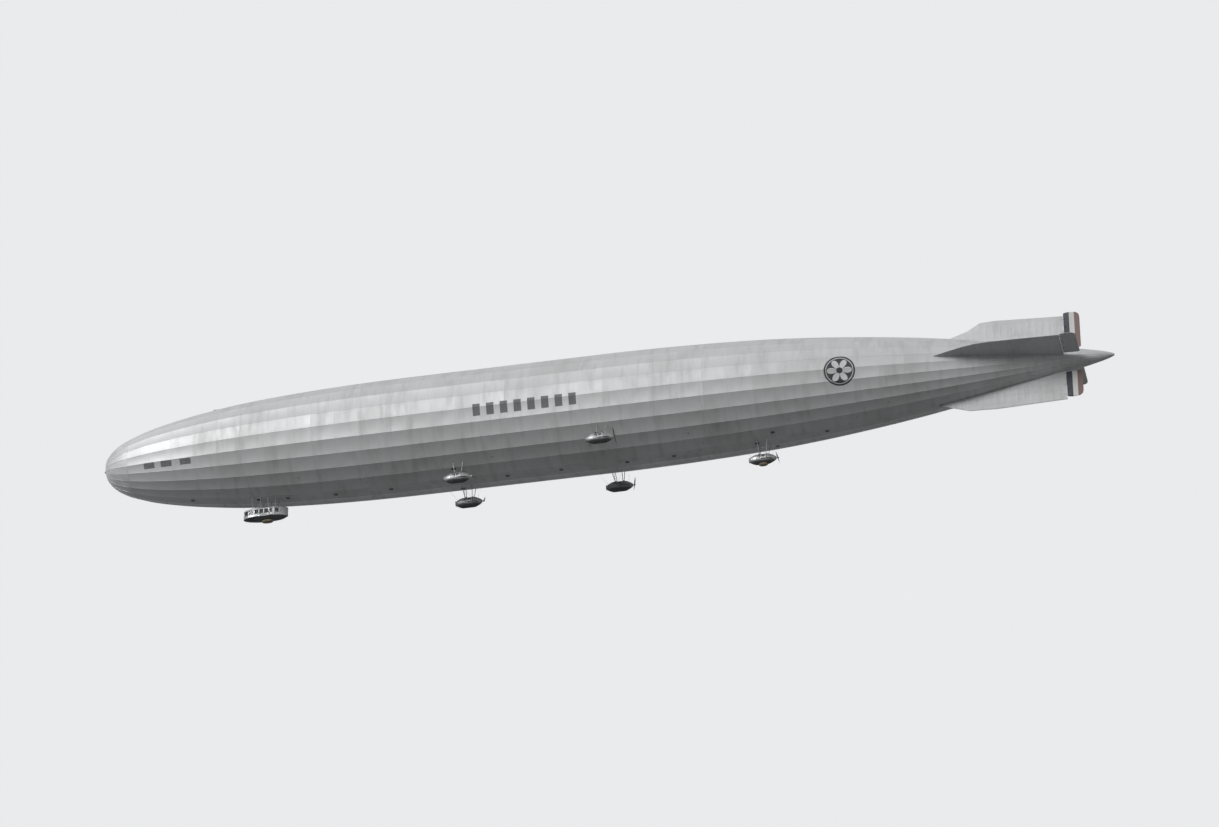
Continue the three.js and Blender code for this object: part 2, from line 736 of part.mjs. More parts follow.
// The door in the port side, hinged at its front edge on pins that stand off the wall
const DOOR = { front: -0.98, back: -1.68, low: -15.2, high: -13.62 };
const DOOR_FACE = 1.2 * M;
const DOOR_PIN = { x: DOOR.front * M + CLEAR / 2, y: DOOR_FACE + 6 };
const DOOR_HINGES = [-14.95 * M, -13.9 * M];
// Radii of a door hinge's pin and barrel, and half heights of its pin, barrel and strap
const PIN_SIZE = { radius: 1.5, half: 12 };
const BARREL = { radius: 3.5, half: 8 };
const STRAP = 6;
// The two lugs of each pin: level from its middle, half thickness, reach forward and edge about the pin
const LUG = { level: 10.5, half: 1.5, reach: 9, edge: 3 };

// An upright round post on the line of the door's pins, about a height
function doorPost(middle, half, radius) {
  const geometry = new THREE.CylinderGeometry(radius, radius, 2 * half, 12);
  geometry.rotateX(Math.PI / 2);
  geometry.translate(DOOR_PIN.x, DOOR_PIN.y, middle);
  return toSolid(geometry);
}

const doorway = box(
  [DOOR.back * M - CLEAR, 0.9 * M, DOOR.low * M - CLEAR],
  [DOOR.front * M + CLEAR, 1.4 * M, DOOR.high * M + CLEAR],
);

function controlWalls() {
  const windows = SIDE_WINDOWS.map(([front, back]) =>
    box([back * M, -1.4 * M, WINDOW_LOW], [front * M, 1.4 * M, WINDOW_HIGH]),
  );
  for (const side of [-1, 1]) {
    const [low, high] = NOSE_WINDOW.map((y) => y * side * M).sort((a, b) => a - b);
    windows.push(box([4.15 * M, low, WINDOW_LOW], [4.8 * M, high, WINDOW_HIGH]));
  }
  const room = controlRoom(CONTROL_WALL, CONTROL_FLOOR, EAVES + 0.2 * M);
  const lugs = DOOR_HINGES.flatMap((middle) => {
    const { x, y } = DOOR_PIN;
    const plates = [-1, 1].map((side) => {
      const [low, high] = [side * LUG.level - LUG.half, side * LUG.level + LUG.half];
      const front = x + LUG.reach;
      const arm = box([x - LUG.edge, DOOR_FACE + 1.5, middle + low], [front, y + LUG.edge, middle + high]);
      const foot = box([x + CLEAR / 2, DOOR_FACE - 1, middle + low], [front, DOOR_FACE + 2, middle + high]);
      return arm.add(foot);
    });
    return [doorPost(middle, PIN_SIZE.half, PIN_SIZE.radius), ...plates];
  });
  return join([cut(controlOutside(), [room, doorway, ...windows]), ...lugs]);
}

function controlDoor() {
  const leaf = box(
    [DOOR.back * M, DOOR_FACE - CONTROL_WALL, DOOR.low * M],
    [DOOR.front * M - CLEAR / 2 + 2.5, DOOR_FACE, DOOR.high * M],
  );
  const pane = box(
    [(DOOR.back + 0.14) * M, 0.9 * M, WINDOW_LOW],
    [(DOOR.front - 0.14) * M, 1.4 * M, WINDOW_HIGH],
  );
  const straps = DOOR_HINGES.map((middle) => {
    const { x, y } = DOOR_PIN;
    const [low, high] = [middle - STRAP, middle + STRAP];
    const strap = box([x - 18, DOOR_FACE - 1, low], [x - 8, DOOR_FACE + 3, high]);
    const arm = box([x - 12, DOOR_FACE + 1, low], [x, y + 1, high]);
    return join([strap, arm, doorPost(middle, BARREL.half, BARREL.radius)]);
  });
  const bores = DOOR_HINGES.map((middle) =>
    doorPost(middle, PIN_SIZE.half + 2, PIN_SIZE.radius + SEAT),
  );
  return cut(join([leaf.subtract(pane), ...straps]), bores);
}

// The roof, a slab with its edges sloped, open at the ladder
function controlRoof() {
  const slab = convex([...planRing(EAVES + SEAT), ...planRing(ROOF_TOP, 0, 0.8, 0.3, 0.3)]);
  return slab.subtract(hatchTool(CONTROL_LADDER, EAVES - 0.2 * M, ROOF_TOP + 0.2 * M));
}

// The panes as one band just inside the walls, parted at the doorway
function controlGlass() {
  const [low, high] = [WINDOW_LOW - 0.08 * M, WINDOW_HIGH + 0.08 * M];
  const thickness = 2;
  const inside = controlRoom(CONTROL_WALL + SEAT + thickness, low - 1, high + 1);
  const [back, front] = [(DOOR.back - 0.1) * M, (DOOR.front + 0.1) * M];
  const gap = box([back, 0.8 * M, low - 1], [front, 1.4 * M, high + 1]);
  return cut(controlRoom(CONTROL_WALL + SEAT, low, high), [inside, gap]);
}

// A helm: a post on the floor and a spoked wheel on it, drawn facing along X
function helm(height, radius) {
  const floor = CONTROL_FLOOR + SEAT;
  const post = box([-0.07 * M, -0.09 * M, floor], [0.05 * M, 0.09 * M, floor + height + 0.08 * M]);
  const ring = new THREE.TorusGeometry(radius, 0.025 * M, 5, 16);
  ring.rotateY(Math.PI / 2);
  const parts = [toSolid(ring)];
  for (let k = 0; k < 4; k += 1) {
    const grip = radius * 1.25;
    const spoke = box([-1, -1, -grip], [1, 1, grip]);
    parts.push(moved(spoke, placing(0, 0, 0, (k * Math.PI) / 4)));
  }
  const wheel = moved(join(parts), placing(-0.11 * M, 0, floor + height));
  const axle = moved(bar(-0.15 * M, 0, 0.035 * M, 8), placing(0, 0, floor + height));
  return join([post, axle, wheel]);
}

// The frame on the roof that hangs the control car: two rails, cross bars and struts to the hull
const ROOF_RAIL = 0.72;
function controlFrame() {
  const [low, high] = [ROOF_TOP + SEAT, ROOF_TOP + 0.1 * M];
  const [half, bar] = [ROOF_RAIL * M, 0.04 * M];
  const parts = [-1, 1].map((side) =>
    box([-2.3 * M, side * half - bar, low], [2.7 * M, side * half + bar, high]),
  );
  for (const forward of [2.6, 0.9, -0.7, -2.2]) {
    parts.push(box([forward * M - bar, -half, low], [forward * M + bar, half, high]));
    for (const side of [-1, 1]) {
      const foot = vec(forward * M, side * half, (low + high) / 2);
      const head = vec(forward * M, side * 1.65 * M, controlSurface + 0.4 * M);
      parts.push(member(foot, head, STRUT.chord, STRUT.thickness));
    }
  }
  return moved(join(parts), controlPlacing).subtract(hullTrim);
}

place("control_car", moved(controlWalls(), controlPlacing), "car_panel");
place("control_car_roof", moved(controlRoof(), controlPlacing), "car_panel");
place("control_car_glass", moved(controlGlass(), controlPlacing), "glass");
place("control_car_door", moved(controlDoor(), controlPlacing), "car_panel");
place("control_car_struts", controlFrame(), "steel");
const controlLadder = ladder(CONTROL_LADDER, CONTROL_FLOOR + SEAT, controlSurface + 0.6 * M);
place("control_car_ladder", moved(controlLadder, controlPlacing), "steel");
place("rudder_wheel", moved(helm(1 * M, 0.36 * M), placing(at(CONTROL_FRAME + 3.1), 0, 0)), "instrument");
const sideways = new THREE.Matrix4().makeRotationZ(-Math.PI / 2);
sideways.setPosition(at(CONTROL_FRAME + 2.3), 0.72 * M, 0);
place("elevator_wheel", moved(helm(0.85 * M, 0.32 * M), sideways), "instrument");
const controlBag = moved(bag(1.25, 0.62, KEEL_LEVEL, BAG_TOP), placing(at(CONTROL_FRAME - 0.4), 0, 0));
place("control_bumping_bag", controlBag.trimByPlane([0, 0, -1], SEAT - BELLY), "bumper");

export default ship;
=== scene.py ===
"""A rigid airship of the 1920s at one tenth of its real size, dressed around its CAD frame.

+X is forward, +Y is to port and +Z is up. Frames are counted in real metres forward of the rudder post.
"""

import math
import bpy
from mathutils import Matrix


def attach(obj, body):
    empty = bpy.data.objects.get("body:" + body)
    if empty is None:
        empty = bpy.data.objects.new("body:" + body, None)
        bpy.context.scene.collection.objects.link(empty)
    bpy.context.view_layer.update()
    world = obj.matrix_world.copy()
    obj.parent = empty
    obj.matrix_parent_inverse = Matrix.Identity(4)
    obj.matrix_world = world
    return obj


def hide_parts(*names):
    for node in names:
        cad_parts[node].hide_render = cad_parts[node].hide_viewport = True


bl_info = {
    "name": "Rigid airship",
    "version": (1, 0, 0),
    "blender": (4, 5, 0),
    "location": "View3D > Sidebar > Airship",
    "description": "Fabric hull, tail, cars, airscrews and rigging of a rigid airship around its CAD frame",
    "category": "Object",
}

import bmesh
import bpy
from bpy.props import FloatProperty, FloatVectorProperty, IntProperty, PointerProperty
from mathutils import Matrix, Vector

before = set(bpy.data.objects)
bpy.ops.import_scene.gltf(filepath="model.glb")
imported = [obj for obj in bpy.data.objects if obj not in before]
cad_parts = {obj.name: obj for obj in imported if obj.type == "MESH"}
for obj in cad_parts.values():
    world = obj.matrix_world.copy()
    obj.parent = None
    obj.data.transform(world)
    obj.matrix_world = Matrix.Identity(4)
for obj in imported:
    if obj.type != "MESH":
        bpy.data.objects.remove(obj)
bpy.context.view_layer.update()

# One metre of the real airship in metres of the model, and the frame at the origin
M = 0.1
ORIGIN_FRAME = 98
GORES = 25
GORE_TURN = 2 * math.pi / GORES
SIDES = (-1, 1)

# Hull outline: frame, and radius from the axis to a corner of the ring in real metres
HULL = [
    (196.1, 0.7), (195.7, 2.1), (194.8, 3.35), (193, 4.75), (190, 6.2), (186, 7.5), (180, 8.8),
    (174, 9.75), (168, 10.5), (160, 11.15), (150, 11.65), (140, 11.92), (130, 12), (90, 12),
    (80, 11.88), (70, 11.6), (60, 11.15), (50, 10.42), (40, 9.4), (30, 8.15), (20, 6.6),
    (10, 4.65), (-1, 2.5), (-5, 1.72), (-9.6, 0.65), (-10.76, 0.2),
]
CAP_FRAME = 190
POST_FRAME = -1
# Radius of the cover's flats as a share of that of its corners
FLAT_SHARE = 0.993
COVER_WALL = 0.01
# Half of the gap between two seated pieces
HALF_SEAT = 0.00015
COVERS = [
    ("bow_cover", 190, 150),
    ("forward_cover", 150, 110),
    ("midship_cover", 110, 70),
    ("aft_cover", 70, 30),
    ("stern_cover", 30, POST_FRAME),
]
# Panels laced into the cover: front and back frame, first and last corner down from the top
HATCH_PANELS = {"port_hatch_panel": (95, 90, 9, 11), "starboard_hatch_panel": (95, 90, -9, -11)}
# Power cars: middle frame, metres to port and up from the axis, turn of the blades in degrees
CARS = {
    "port_forward": (121, 4.9, -14.05, 70),
    "starboard_forward": (121, -4.9, -14.05, 40),
    "port_midship": (91, 9.5, -11.5, 115),
    "starboard_midship": (91, -9.5, -11.5, 20),
    "aft": (60, 0, -14.85, 90),
}
# Outline of a power car: metres forward of its middle, half width and half height
CAR_STATIONS = [
    (-2.7, 0.18, 0.2), (-2.5, 0.33, 0.4), (-1.9, 0.64, 0.77), (-0.9, 0.95, 1.1), (1.2, 0.95, 1.1),
    (2.35, 0.64, 0.7), (2.7, 0.42, 0.45),
]
CAR_WALL = 0.05
# Windows in both sides of a power car, as stretches along it, and their levels
CAR_WINDOWS = [(0.95, 0.45), (0.15, -0.35)]
CAR_SILL, CAR_HEAD = 0.22, 0.62
# Places of the hoops and ladders ahead of the middle of their car, and where the struts stand on a hoop
HOOPS = (0.62, -0.8)
CAR_LADDER, CONTROL_LADDER = 0.9, 1.3
SHOULDER = (0.83, 0.7)
# A hatch reaches ahead of and behind its ladder, and to each side
HATCH = (0.65, 0.15, 0.3)
PROP_FORWARD = -2.95
CONTROL_FRAME = 162
# Levels of the control car from the hull's axis
BELLY, CHINE, EAVES, ROOF_TOP = -15.75, -15.3, -13.45, -13.22
WINDOW_LOW, WINDOW_HIGH = -14.6, -13.75
CONTROL_PLAN = [
    (4.6, 0.05), (4.3, 0.5), (3.4, 0.95), (2.2, 1.2), (-2, 1.2), (-3.6, 0.8), (-4.6, 0.15),
]
# Tail surfaces: name, kind of flap, quarter turns about X, and heights of shoulder, tip and flap's end
TAIL = [
    ("upper", "rudder", 0, 11.1, 10.3, 11.1),
    ("port", "elevator", -1, 10, 9.5, 9.95),
    ("lower", "rudder", 2, 9.5, 9.1, 8.6),
    ("starboard", "elevator", 1, 10, 9.5, 9.95),
]
FIN_FRONT, SHOULDER_FRAME = 27, 14
HINGE_FRAME = POST_FRAME - 0.17
FLAP_CHORD, FLAP_NOSE, FLAP_ROOT = 3.1, 0.12, 2.8
HINGES = (0.08, 0.5, 0.88)
KEEL_LEVEL, BAG_TOP = -16.4, -15.65
# The lookout's deck: its frame, its reach ahead and behind, and its half width
DECK = (172, 1.3, 0.85)


def at(frame_number):
    """The place along X of a frame."""
    return (frame_number - ORIGIN_FRAME) * M


def real(*values):
    """Real metres in metres of the model."""
    return tuple(value * M for value in values)


def shift(x, y=0.0, z=0.0):
    return Matrix.Translation((x, y, z))


def spin(angle, axis):
    return Matrix.Rotation(angle, 4, axis)


def spaced(start, end, steps):
    """Evenly spaced values from start to end, both kept."""
    return [start + (end - start) * i / steps for i in range(steps + 1)]


def around(count):
    """Evenly spaced turns of a full circle."""
    return spaced(0, 2 * math.pi, count)[:-1]


def blend(a, b, share):
    return a + (b - a) * share


def along_lines(rows, x):
    """The value at x on straight lines through rows of (x, value)."""
    for (x0, a), (x1, b) in zip(rows, rows[1:]):
        if x <= x1:
            return blend(a, b, (x - x0) / (x1 - x0))
    return rows[-1][1]


def hermite(rows, x):
    """A smooth curve through rows of (x, value) that never swings past them."""
    rows = sorted(rows)
    xs, values = zip(*rows)
    slopes = [(b - a) / (x1 - x0) for (x0, a), (x1, b) in zip(rows, rows[1:])]
    tangents = [slopes[0]]
    for before, after in zip(slopes, slopes[1:]):
        tangents.append(2 * before * after / (before + after) if before * after > 0 else 0)
    tangents.append(slopes[-1])
    x = min(max(x, xs[0]), xs[-1])
    i = max(j for j in range(len(xs) - 1) if xs[j] <= x or j == 0)
    step = xs[i + 1] - xs[i]
    t = (x - xs[i]) / step
    return (
        values[i] * (1 + 2 * t) * (1 - t) ** 2
        + values[i + 1] * t * t * (3 - 2 * t)
        + step * tangents[i] * t * (1 - t) ** 2
        - step * tangents[i + 1] * t * t * (1 - t)
    )


def hull_radius(frame_number):
    """Radius of the hull's corners at a frame, in real metres."""
    return hermite([row for row in HULL if row[0] <= CAP_FRAME], frame_number)


# Level of the lookout's deck
DECK_TOP = (hull_radius(DECK[0] - DECK[1]) + 0.3) * M


# Shapes


def round_section(point, wide, thin, sides):
    """Points on an ellipse about a point, from its two half axes."""
    return [point + wide * math.cos(turn) + thin * math.sin(turn) for turn in around(sides)]


class Shape:
    """The points and faces of one piece, gathered in its place before its mesh is made."""

    def __init__(self, place=None):
        self.place = place or Matrix()
        self.points = []
        self.faces = []
        self.finishes = []

    def add(self, points, faces, finish=0, place=None):
        start = len(self.points)
        whole = self.place @ place if place else self.place
        self.points += [tuple(whole @ Vector(point)) for point in points]
        self.faces += [[start + i for i in face] for face in faces]
        self.finishes += [finish] * len(faces)
        return self

    def skin(self, rings, finish=0, place=None, closed=False):
        """A skin over rings of equally many points: closed on itself, or else capped at both ends."""
        count = len(rings[0])
        points = [point for ring in rings for point in ring]
        faces = []
        for i in range(len(rings) if closed else len(rings) - 1):
            a, b = i * count, ((i + 1) % len(rings)) * count
            for k in range(count):
                n = (k + 1) % count
                faces.append((a + k, a + n, b + n, b + k))
        if not closed:
            end = len(points) - count
            faces += [range(count), range(end, len(points))]
        return self.add(points, faces, finish, place)

    def slab(self, point, sides, steps):
        """A closed sheet: its points follow from the front or back side and two shares from 0 to 1."""
        us, vs = steps
        row, other = vs + 1, (us + 1) * (vs + 1)
        points = [point(side, i / us, j / vs) for side in sides for i in range(us + 1) for j in range(row)]
        faces = []
        for i in range(us):
            for j in range(vs):
                a, b = i * row + j, (i + 1) * row + j
                faces.append((a, b, b + 1, a + 1))
                faces.append((other + a, other + a + 1, other + b + 1, other + b))
        edge = [i * row for i in range(us)] + [us * row + j for j in range(vs)]
        edge += [(us - i) * row + vs for i in range(us)] + [vs - j for j in range(vs)]
        for a, b in zip(edge, edge[1:] + edge[:1]):
            faces.append((a, b, other + b, other + a))
        return self.add(points, faces)

    def loop(self, path, radius, sides=6, finish=0, place=None):
        """A tube along a path that closes on itself."""
        path = [Vector(point) for point in path]
        rings = []
        for i, point in enumerate(path):
            along = (path[(i + 1) % len(path)] - path[i - 1]).normalized()
            wide = Vector((0, 0, 1)) if abs(along.z) < 0.9 else Vector((0, 1, 0))
            wide = (wide - along * wide.dot(along)).normalized()
            if rings and wide.dot(before) < 0.3:
                wide = (before - along * before.dot(along)).normalized()
            before = wide
            rings.append(round_section(point, wide * radius, along.cross(wide) * radius, sides))
        return self.skin(rings, finish, place, closed=True)

    def box(self, low, high, finish=0, place=None, ease=0):
        """A box between two corners, its edges cut by a chamfer if one is asked for."""
        (x0, y0, z0), (x1, y1, z1) = low, high
        if not ease:
            points = [(x, y, z) for x in (x0, x1) for y in (y0, y1) for z in (z0, z1)]
            faces = [(0, 1, 3, 2), (4, 6, 7, 5), (0, 4, 5, 1), (2, 3, 7, 6), (0, 2, 6, 4), (1, 5, 7, 3)]
            return self.add(points, faces, finish, place)
        rings = []
        for z, inset in ((z0, ease), (z0 + ease, 0), (z1 - ease, 0), (z1, ease)):
            rings.append(chamfered(x0 + inset, x1 - inset, y0 + inset, y1 - inset, ease, z))
        return self.skin(rings, finish, place)

    def block(self, middle, half, finish=0, place=None, ease=0):
        """A box given by its middle and its half sizes."""
        low = [m - h for m, h in zip(middle, half)]
        high = [m + h for m, h in zip(middle, half)]
        return self.box(low, high, finish, place, ease)

    def tube(self, path, radius, sides=8, finish=0, place=None, flat=1, broad=(1, 0, 0)):
        """A tube along a path; its section is flat times as wide across the broad direction as along it."""
        path = [Vector(point) for point in path]
        radii = radius if isinstance(radius, (list, tuple)) else [radius] * len(path)
        rings = []
        for i, (point, size) in enumerate(zip(path, radii)):
            along = (path[min(i + 1, len(path) - 1)] - path[max(i - 1, 0)]).normalized()
            wide = Vector(broad) - along * Vector(broad).dot(along)
            if wide.length < 0.2:
                wide = along.orthogonal()
            wide.normalize()
            rings.append(round_section(point, wide * size, along.cross(wide) * size * flat, sides))
        return self.skin(rings, finish, place)

    def turned(self, profile, sides, finish=0, place=None):
        """A closed profile of (along, radius) turned about X; rows on the axis become points."""
        points, rings = [], []
        for along, radius in profile:
            if radius <= 0:
                rings.append([len(points)])
                points.append((along, 0, 0))
                continue
            rings.append(list(range(len(points), len(points) + sides)))
            points += [(along, radius * math.sin(turn), radius * math.cos(turn)) for turn in around(sides)]
        faces = []
        pairs = list(zip(rings, rings[1:]))
        if len(rings[0]) > 1 or len(rings[-1]) > 1:
            pairs.append((rings[-1], rings[0]))
        for a, b in pairs:
            for k in range(sides):
                n = (k + 1) % sides
                corners = [a[k % len(a)], a[n % len(a)], b[n % len(b)], b[k % len(b)]]
                kept = list(dict.fromkeys(corners))
                if len(kept) > 2:
                    faces.append(kept)
        return self.add(points, faces, finish, place)

    def ball(self, radius, finish, place, sides=12):
        rows = [(-math.cos(a) * radius, math.sin(a) * radius) for a in spaced(0, math.pi, sides // 2)]
        rows[0], rows[-1] = (-radius, 0), (radius, 0)
        return self.turned(rows, sides, finish, place)

    def piece(self, name, finishes, body, slot, replaces=(), sharp=32):
        """Makes the mesh, with smooth faces and edges sharp past an angle, and fits it to the frame."""
        mesh = bpy.data.meshes.new(name)
        mesh.from_pydata(self.points, [], self.faces)
        mesh.polygons.foreach_set("material_index", self.finishes)
        made = shown(name, mesh, finishes)
        with_bmesh(mesh, lambda work: bmesh.ops.recalc_face_normals(work, faces=work.faces))
        shade(mesh, sharp)
        if body:
            fit(made, body, replaces)
        return made


def chamfered(x0, x1, y0, y1, ease, z):
    """An upright box's outline at a height, with its corners cut."""
    return [
        (x0 + ease, y0, z), (x1 - ease, y0, z), (x1, y0 + ease, z), (x1, y1 - ease, z),
        (x1 - ease, y1, z), (x0 + ease, y1, z), (x0, y1 - ease, z), (x0, y0 + ease, z),
    ]


def shown(name, data, finishes=()):
    """A new object of the scene."""
    made = bpy.data.objects.new(name, data)
    bpy.context.scene.collection.objects.link(made)
    for material in finishes:
        data.materials.append(material)
    return made


def with_bmesh(mesh, *edits):
    """Edits a mesh through bmesh."""
    work = bmesh.new()
    work.from_mesh(mesh)
    for edit in edits:
        edit(work)
    work.to_mesh(mesh)
    work.free()


def shade(mesh, sharp):
    mesh.shade_smooth()
    mesh.set_sharp_from_angle(angle=math.radians(sharp))


def fit(piece, body, replaces):
    """Hangs a piece on a body of the frame, in place of CAD nodes."""
    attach(piece, body)
    if replaces:
        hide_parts(*replaces)


def dress(node, material):
    """A better material for a CAD node that stays in sight."""
    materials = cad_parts[node].data.materials
    materials.clear()
    materials.append(material)


def change(piece, kind, sharp, **options):
    """Works one modifier into a piece's mesh."""
    modifier = piece.modifiers.new(kind.lower(), kind)
    for key, option in options.items():
        setattr(modifier, key, option)
    bpy.context.view_layer.update()
    graph = bpy.context.evaluated_depsgraph_get()
    mesh = bpy.data.meshes.new_from_object(piece.evaluated_get(graph))
    piece.modifiers.clear()
    piece.data = mesh
    shade(mesh, sharp)


def cut_away(piece, tool, sharp=32):
    """Cuts a tool's shape out of a piece."""
    cutter = tool.piece(f"{piece.name}_tool", [], None, None)
    change(piece, "BOOLEAN", sharp, operation="DIFFERENCE", solver="EXACT", object=cutter)
    bpy.data.objects.remove(cutter)


def eased_copy(node, name, width, finish):
    """A copy of a CAD node's mesh with its flat faces merged and its edges rounded."""
    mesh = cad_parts[node].data.copy()
    mesh.materials.clear()
    flat = math.radians(0.5)
    with_bmesh(
        mesh,
        lambda work: bmesh.ops.remove_doubles(work, verts=work.verts, dist=1e-5),
        lambda work: bmesh.ops.dissolve_limit(work, angle_limit=flat, verts=work.verts, edges=work.edges),
    )
    copy = shown(name, mesh, [finish])
    change(copy, "BEVEL", 40, width=width, segments=2, limit_method="ANGLE", angle_limit=math.radians(30))
    return copy


# Finishes


class Graph:
    """A node tree, to which one method adds every node."""

    def __init__(self, owner):
        owner.use_nodes = True
        self.tree = owner.node_tree
        self.tree.nodes.clear()

    def node(self, kind, options=None, values=None, out=0):
        """Adds a node: its options are set first, then the values or links of its sockets."""
        made = self.tree.nodes.new(kind)
        for key, option in (options or {}).items():
            setattr(made, key, option)
        for key, value in (values or {}).items():
            if isinstance(value, Signal):
                self.tree.links.new(value.socket, made.inputs[key])
            else:
                made.inputs[key].default_value = value
        if isinstance(out, tuple):
            return tuple(Signal(self, made.outputs[key]) for key in out)
        return Signal(self, made.outputs[out]) if made.outputs else None


def forms(operation):
    """The plain and the reflected form of an operator that adds a Math node."""

    def plain(self, other):
        return self.math(operation, other)

    def reflected(self, other):
        return self.graph.node("ShaderNodeMath", {"operation": operation}, {0: other, 1: self})

    return plain, reflected


class Signal:
    """A socket of a node tree; an expression on signals adds its Math nodes."""

    __add__, __radd__ = forms("ADD")
    __sub__, __rsub__ = forms("SUBTRACT")
    __mul__, __rmul__ = forms("MULTIPLY")
    __truediv__, __rtruediv__ = forms("DIVIDE")
    __pow__, __rpow__ = forms("POWER")

    def __init__(self, graph, socket):
        self.graph = graph
        self.socket = socket

    def math(self, operation, *others, clamp=False):
        options = {"operation": operation, "use_clamp": clamp}
        return self.graph.node("ShaderNodeMath", options, dict(enumerate((self, *others))))

    def __lt__(self, other):
        return self.math("LESS_THAN", other)

    def __gt__(self, other):
        return self.math("GREATER_THAN", other)

    def __abs__(self):
        return self.math("ABSOLUTE")

    def fraction(self):
        return self.math("FRACT")

    def whole(self):
        return self.math("FLOOR")

    def most(self, other):
        return self.math("MAXIMUM", other)

    def clamped(self):
        return self.math("MULTIPLY", 1.0, clamp=True)

    def from_middle(self):
        """Distance from the middle between the two whole numbers about the signal."""
        return abs(self.fraction() - 0.5)

    def from_whole(self):
        """Distance from the nearest whole number."""
        return 0.5 - self.from_middle()

    def rise(self, low, high, start=0.0, end=1.0):
        """Goes smoothly from start to end as the signal goes from low to high."""
        values = {"Value": self, "From Min": low, "From Max": high, "To Min": start, "To Max": end}
        return self.graph.node("ShaderNodeMapRange", {"interpolation_type": "SMOOTHSTEP"}, values)


class Finish(Graph):
    """A material being built around one shader."""

    def __init__(self, name, **uniform):
        self.material = bpy.data.materials.new(name)
        super().__init__(self.material)
        values = {key.replace("_", " "): value for key, value in uniform.items()}
        self.shader = self.node("ShaderNodeBsdfPrincipled", None, values)
        self.place = self.node("ShaderNodeTexCoord", out="Object")
        self.x, self.y, self.z = self.node("ShaderNodeSeparateXYZ", None, {0: self.place}, (0, 1, 2))

    def vector(self, x, y, z):
        return self.node("ShaderNodeCombineXYZ", None, {0: x, 1: y, 2: z})

    def stretched(self, x, y, z):
        """The place on the piece, scaled along each axis."""
        return self.node("ShaderNodeVectorMath", {"operation": "MULTIPLY"}, {0: self.place, 1: (x, y, z)})

    def noise(self, scale, detail=3, vector=None):
        values = {"Vector": vector or self.place, "Scale": scale, "Detail": detail, "Roughness": 0.55}
        return self.node("ShaderNodeTexNoise", None, values)

    def mix(self, factor, a, b):
        options = {"data_type": "RGBA", "clamp_factor": True}
        return self.node("ShaderNodeMix", options, {0: factor, 6: a, 7: b}, out=2)

    def bump(self, height, depth):
        return self.node("ShaderNodeBump", None, {"Height": height, "Distance": depth, "Strength": 1.0})

    def feed(self, surface=None, **signals):
        """Links signals to the shader's sockets and gives the material its surface."""
        for key, signal in signals.items():
            self.tree.links.new(signal.socket, self.shader.socket.node.inputs[key.replace("_", " ")])
        self.node("ShaderNodeOutputMaterial", None, {"Surface": surface or self.shader})
        return self.material

    def finished(self, colour, roughness, height, depth, **more):
        """The material, with its colour, its roughness, and a bump of a height."""
        return self.feed(Base_Color=colour, Roughness=roughness, Normal=self.bump(height, depth), **more)


def shaded(colour, factor):
    """A colour made darker or lighter, as a fixed value."""
    return tuple(min(channel * factor, 1) for channel in colour[:3]) + (1,)


# Sizes and colours


def colour_setting(name, description, *channels):
    return FloatVectorProperty(
        name=name, description=description, subtype="COLOR", size=4, min=0, max=1, default=(*channels, 1),
    )


def length_setting(name, description, default, least=0.0):
    return FloatProperty(name=name, description=description, default=default, unit="LENGTH", min=least)


def number_setting(name, description, default, **limits):
    return FloatProperty(name=name, description=description, default=default, **limits)


class AirshipHullSettings(bpy.types.PropertyGroup):
    silver: colour_setting("Cover silver", "Colour of the doped cover", 0.66, 0.67, 0.675)
    grime: colour_setting("Cover grime", "Colour of rain streaks and old dope", 0.44, 0.44, 0.43)
    marking: colour_setting("Marking", "Colour of the plain painted marks", 0.045, 0.048, 0.055)
    bay: length_setting("Bay", "Distance between two frames of the hull", 5 * M, 0.1)
    sag: number_setting(
        "Sag", "How far the cover sinks in the middle of a bay, for each metre of its width", 0.014, min=0,
    )
    disc: length_setting("Disc", "Radius of the painted disc on each side", 3.1 * M, 0.01)


class AirshipTailSettings(bpy.types.PropertyGroup):
    rib: length_setting("Rib", "Distance between two ribs of a fin", 1.4 * M, 0.02)
    front_stripe: colour_setting("Front stripe", "Stripe of the rudders by the hinge", 0.045, 0.05, 0.065)
    middle_stripe: colour_setting("Middle stripe", "Middle stripe of the rudders", 0.6, 0.6, 0.585)
    back_stripe: colour_setting("Back stripe", "Stripe of the rudders along the back edge", 0.2, 0.13, 0.12)


class AirshipCarSettings(bpy.types.PropertyGroup):
    metal: colour_setting("Car metal", "Colour of the cars' sheet", 0.5, 0.51, 0.515)
    wood: colour_setting("Airscrew wood", "Colour of the airscrews' pale laminations", 0.3, 0.13, 0.05)
    # Dark colour of the cars' bellies: their soot, and the painted shade under them
    soot_and_shade: colour_setting("Soot", "Colour of the oil and soot under the cars", 0.04, 0.041, 0.043)
    wire: length_setting("Wire", "Radius of a bracing wire", 0.008 * M, 1e-4)
    gores: IntProperty(
        name="Bag gores", description="Panels sewn together around a bumping bag", default=12, min=6,
    )


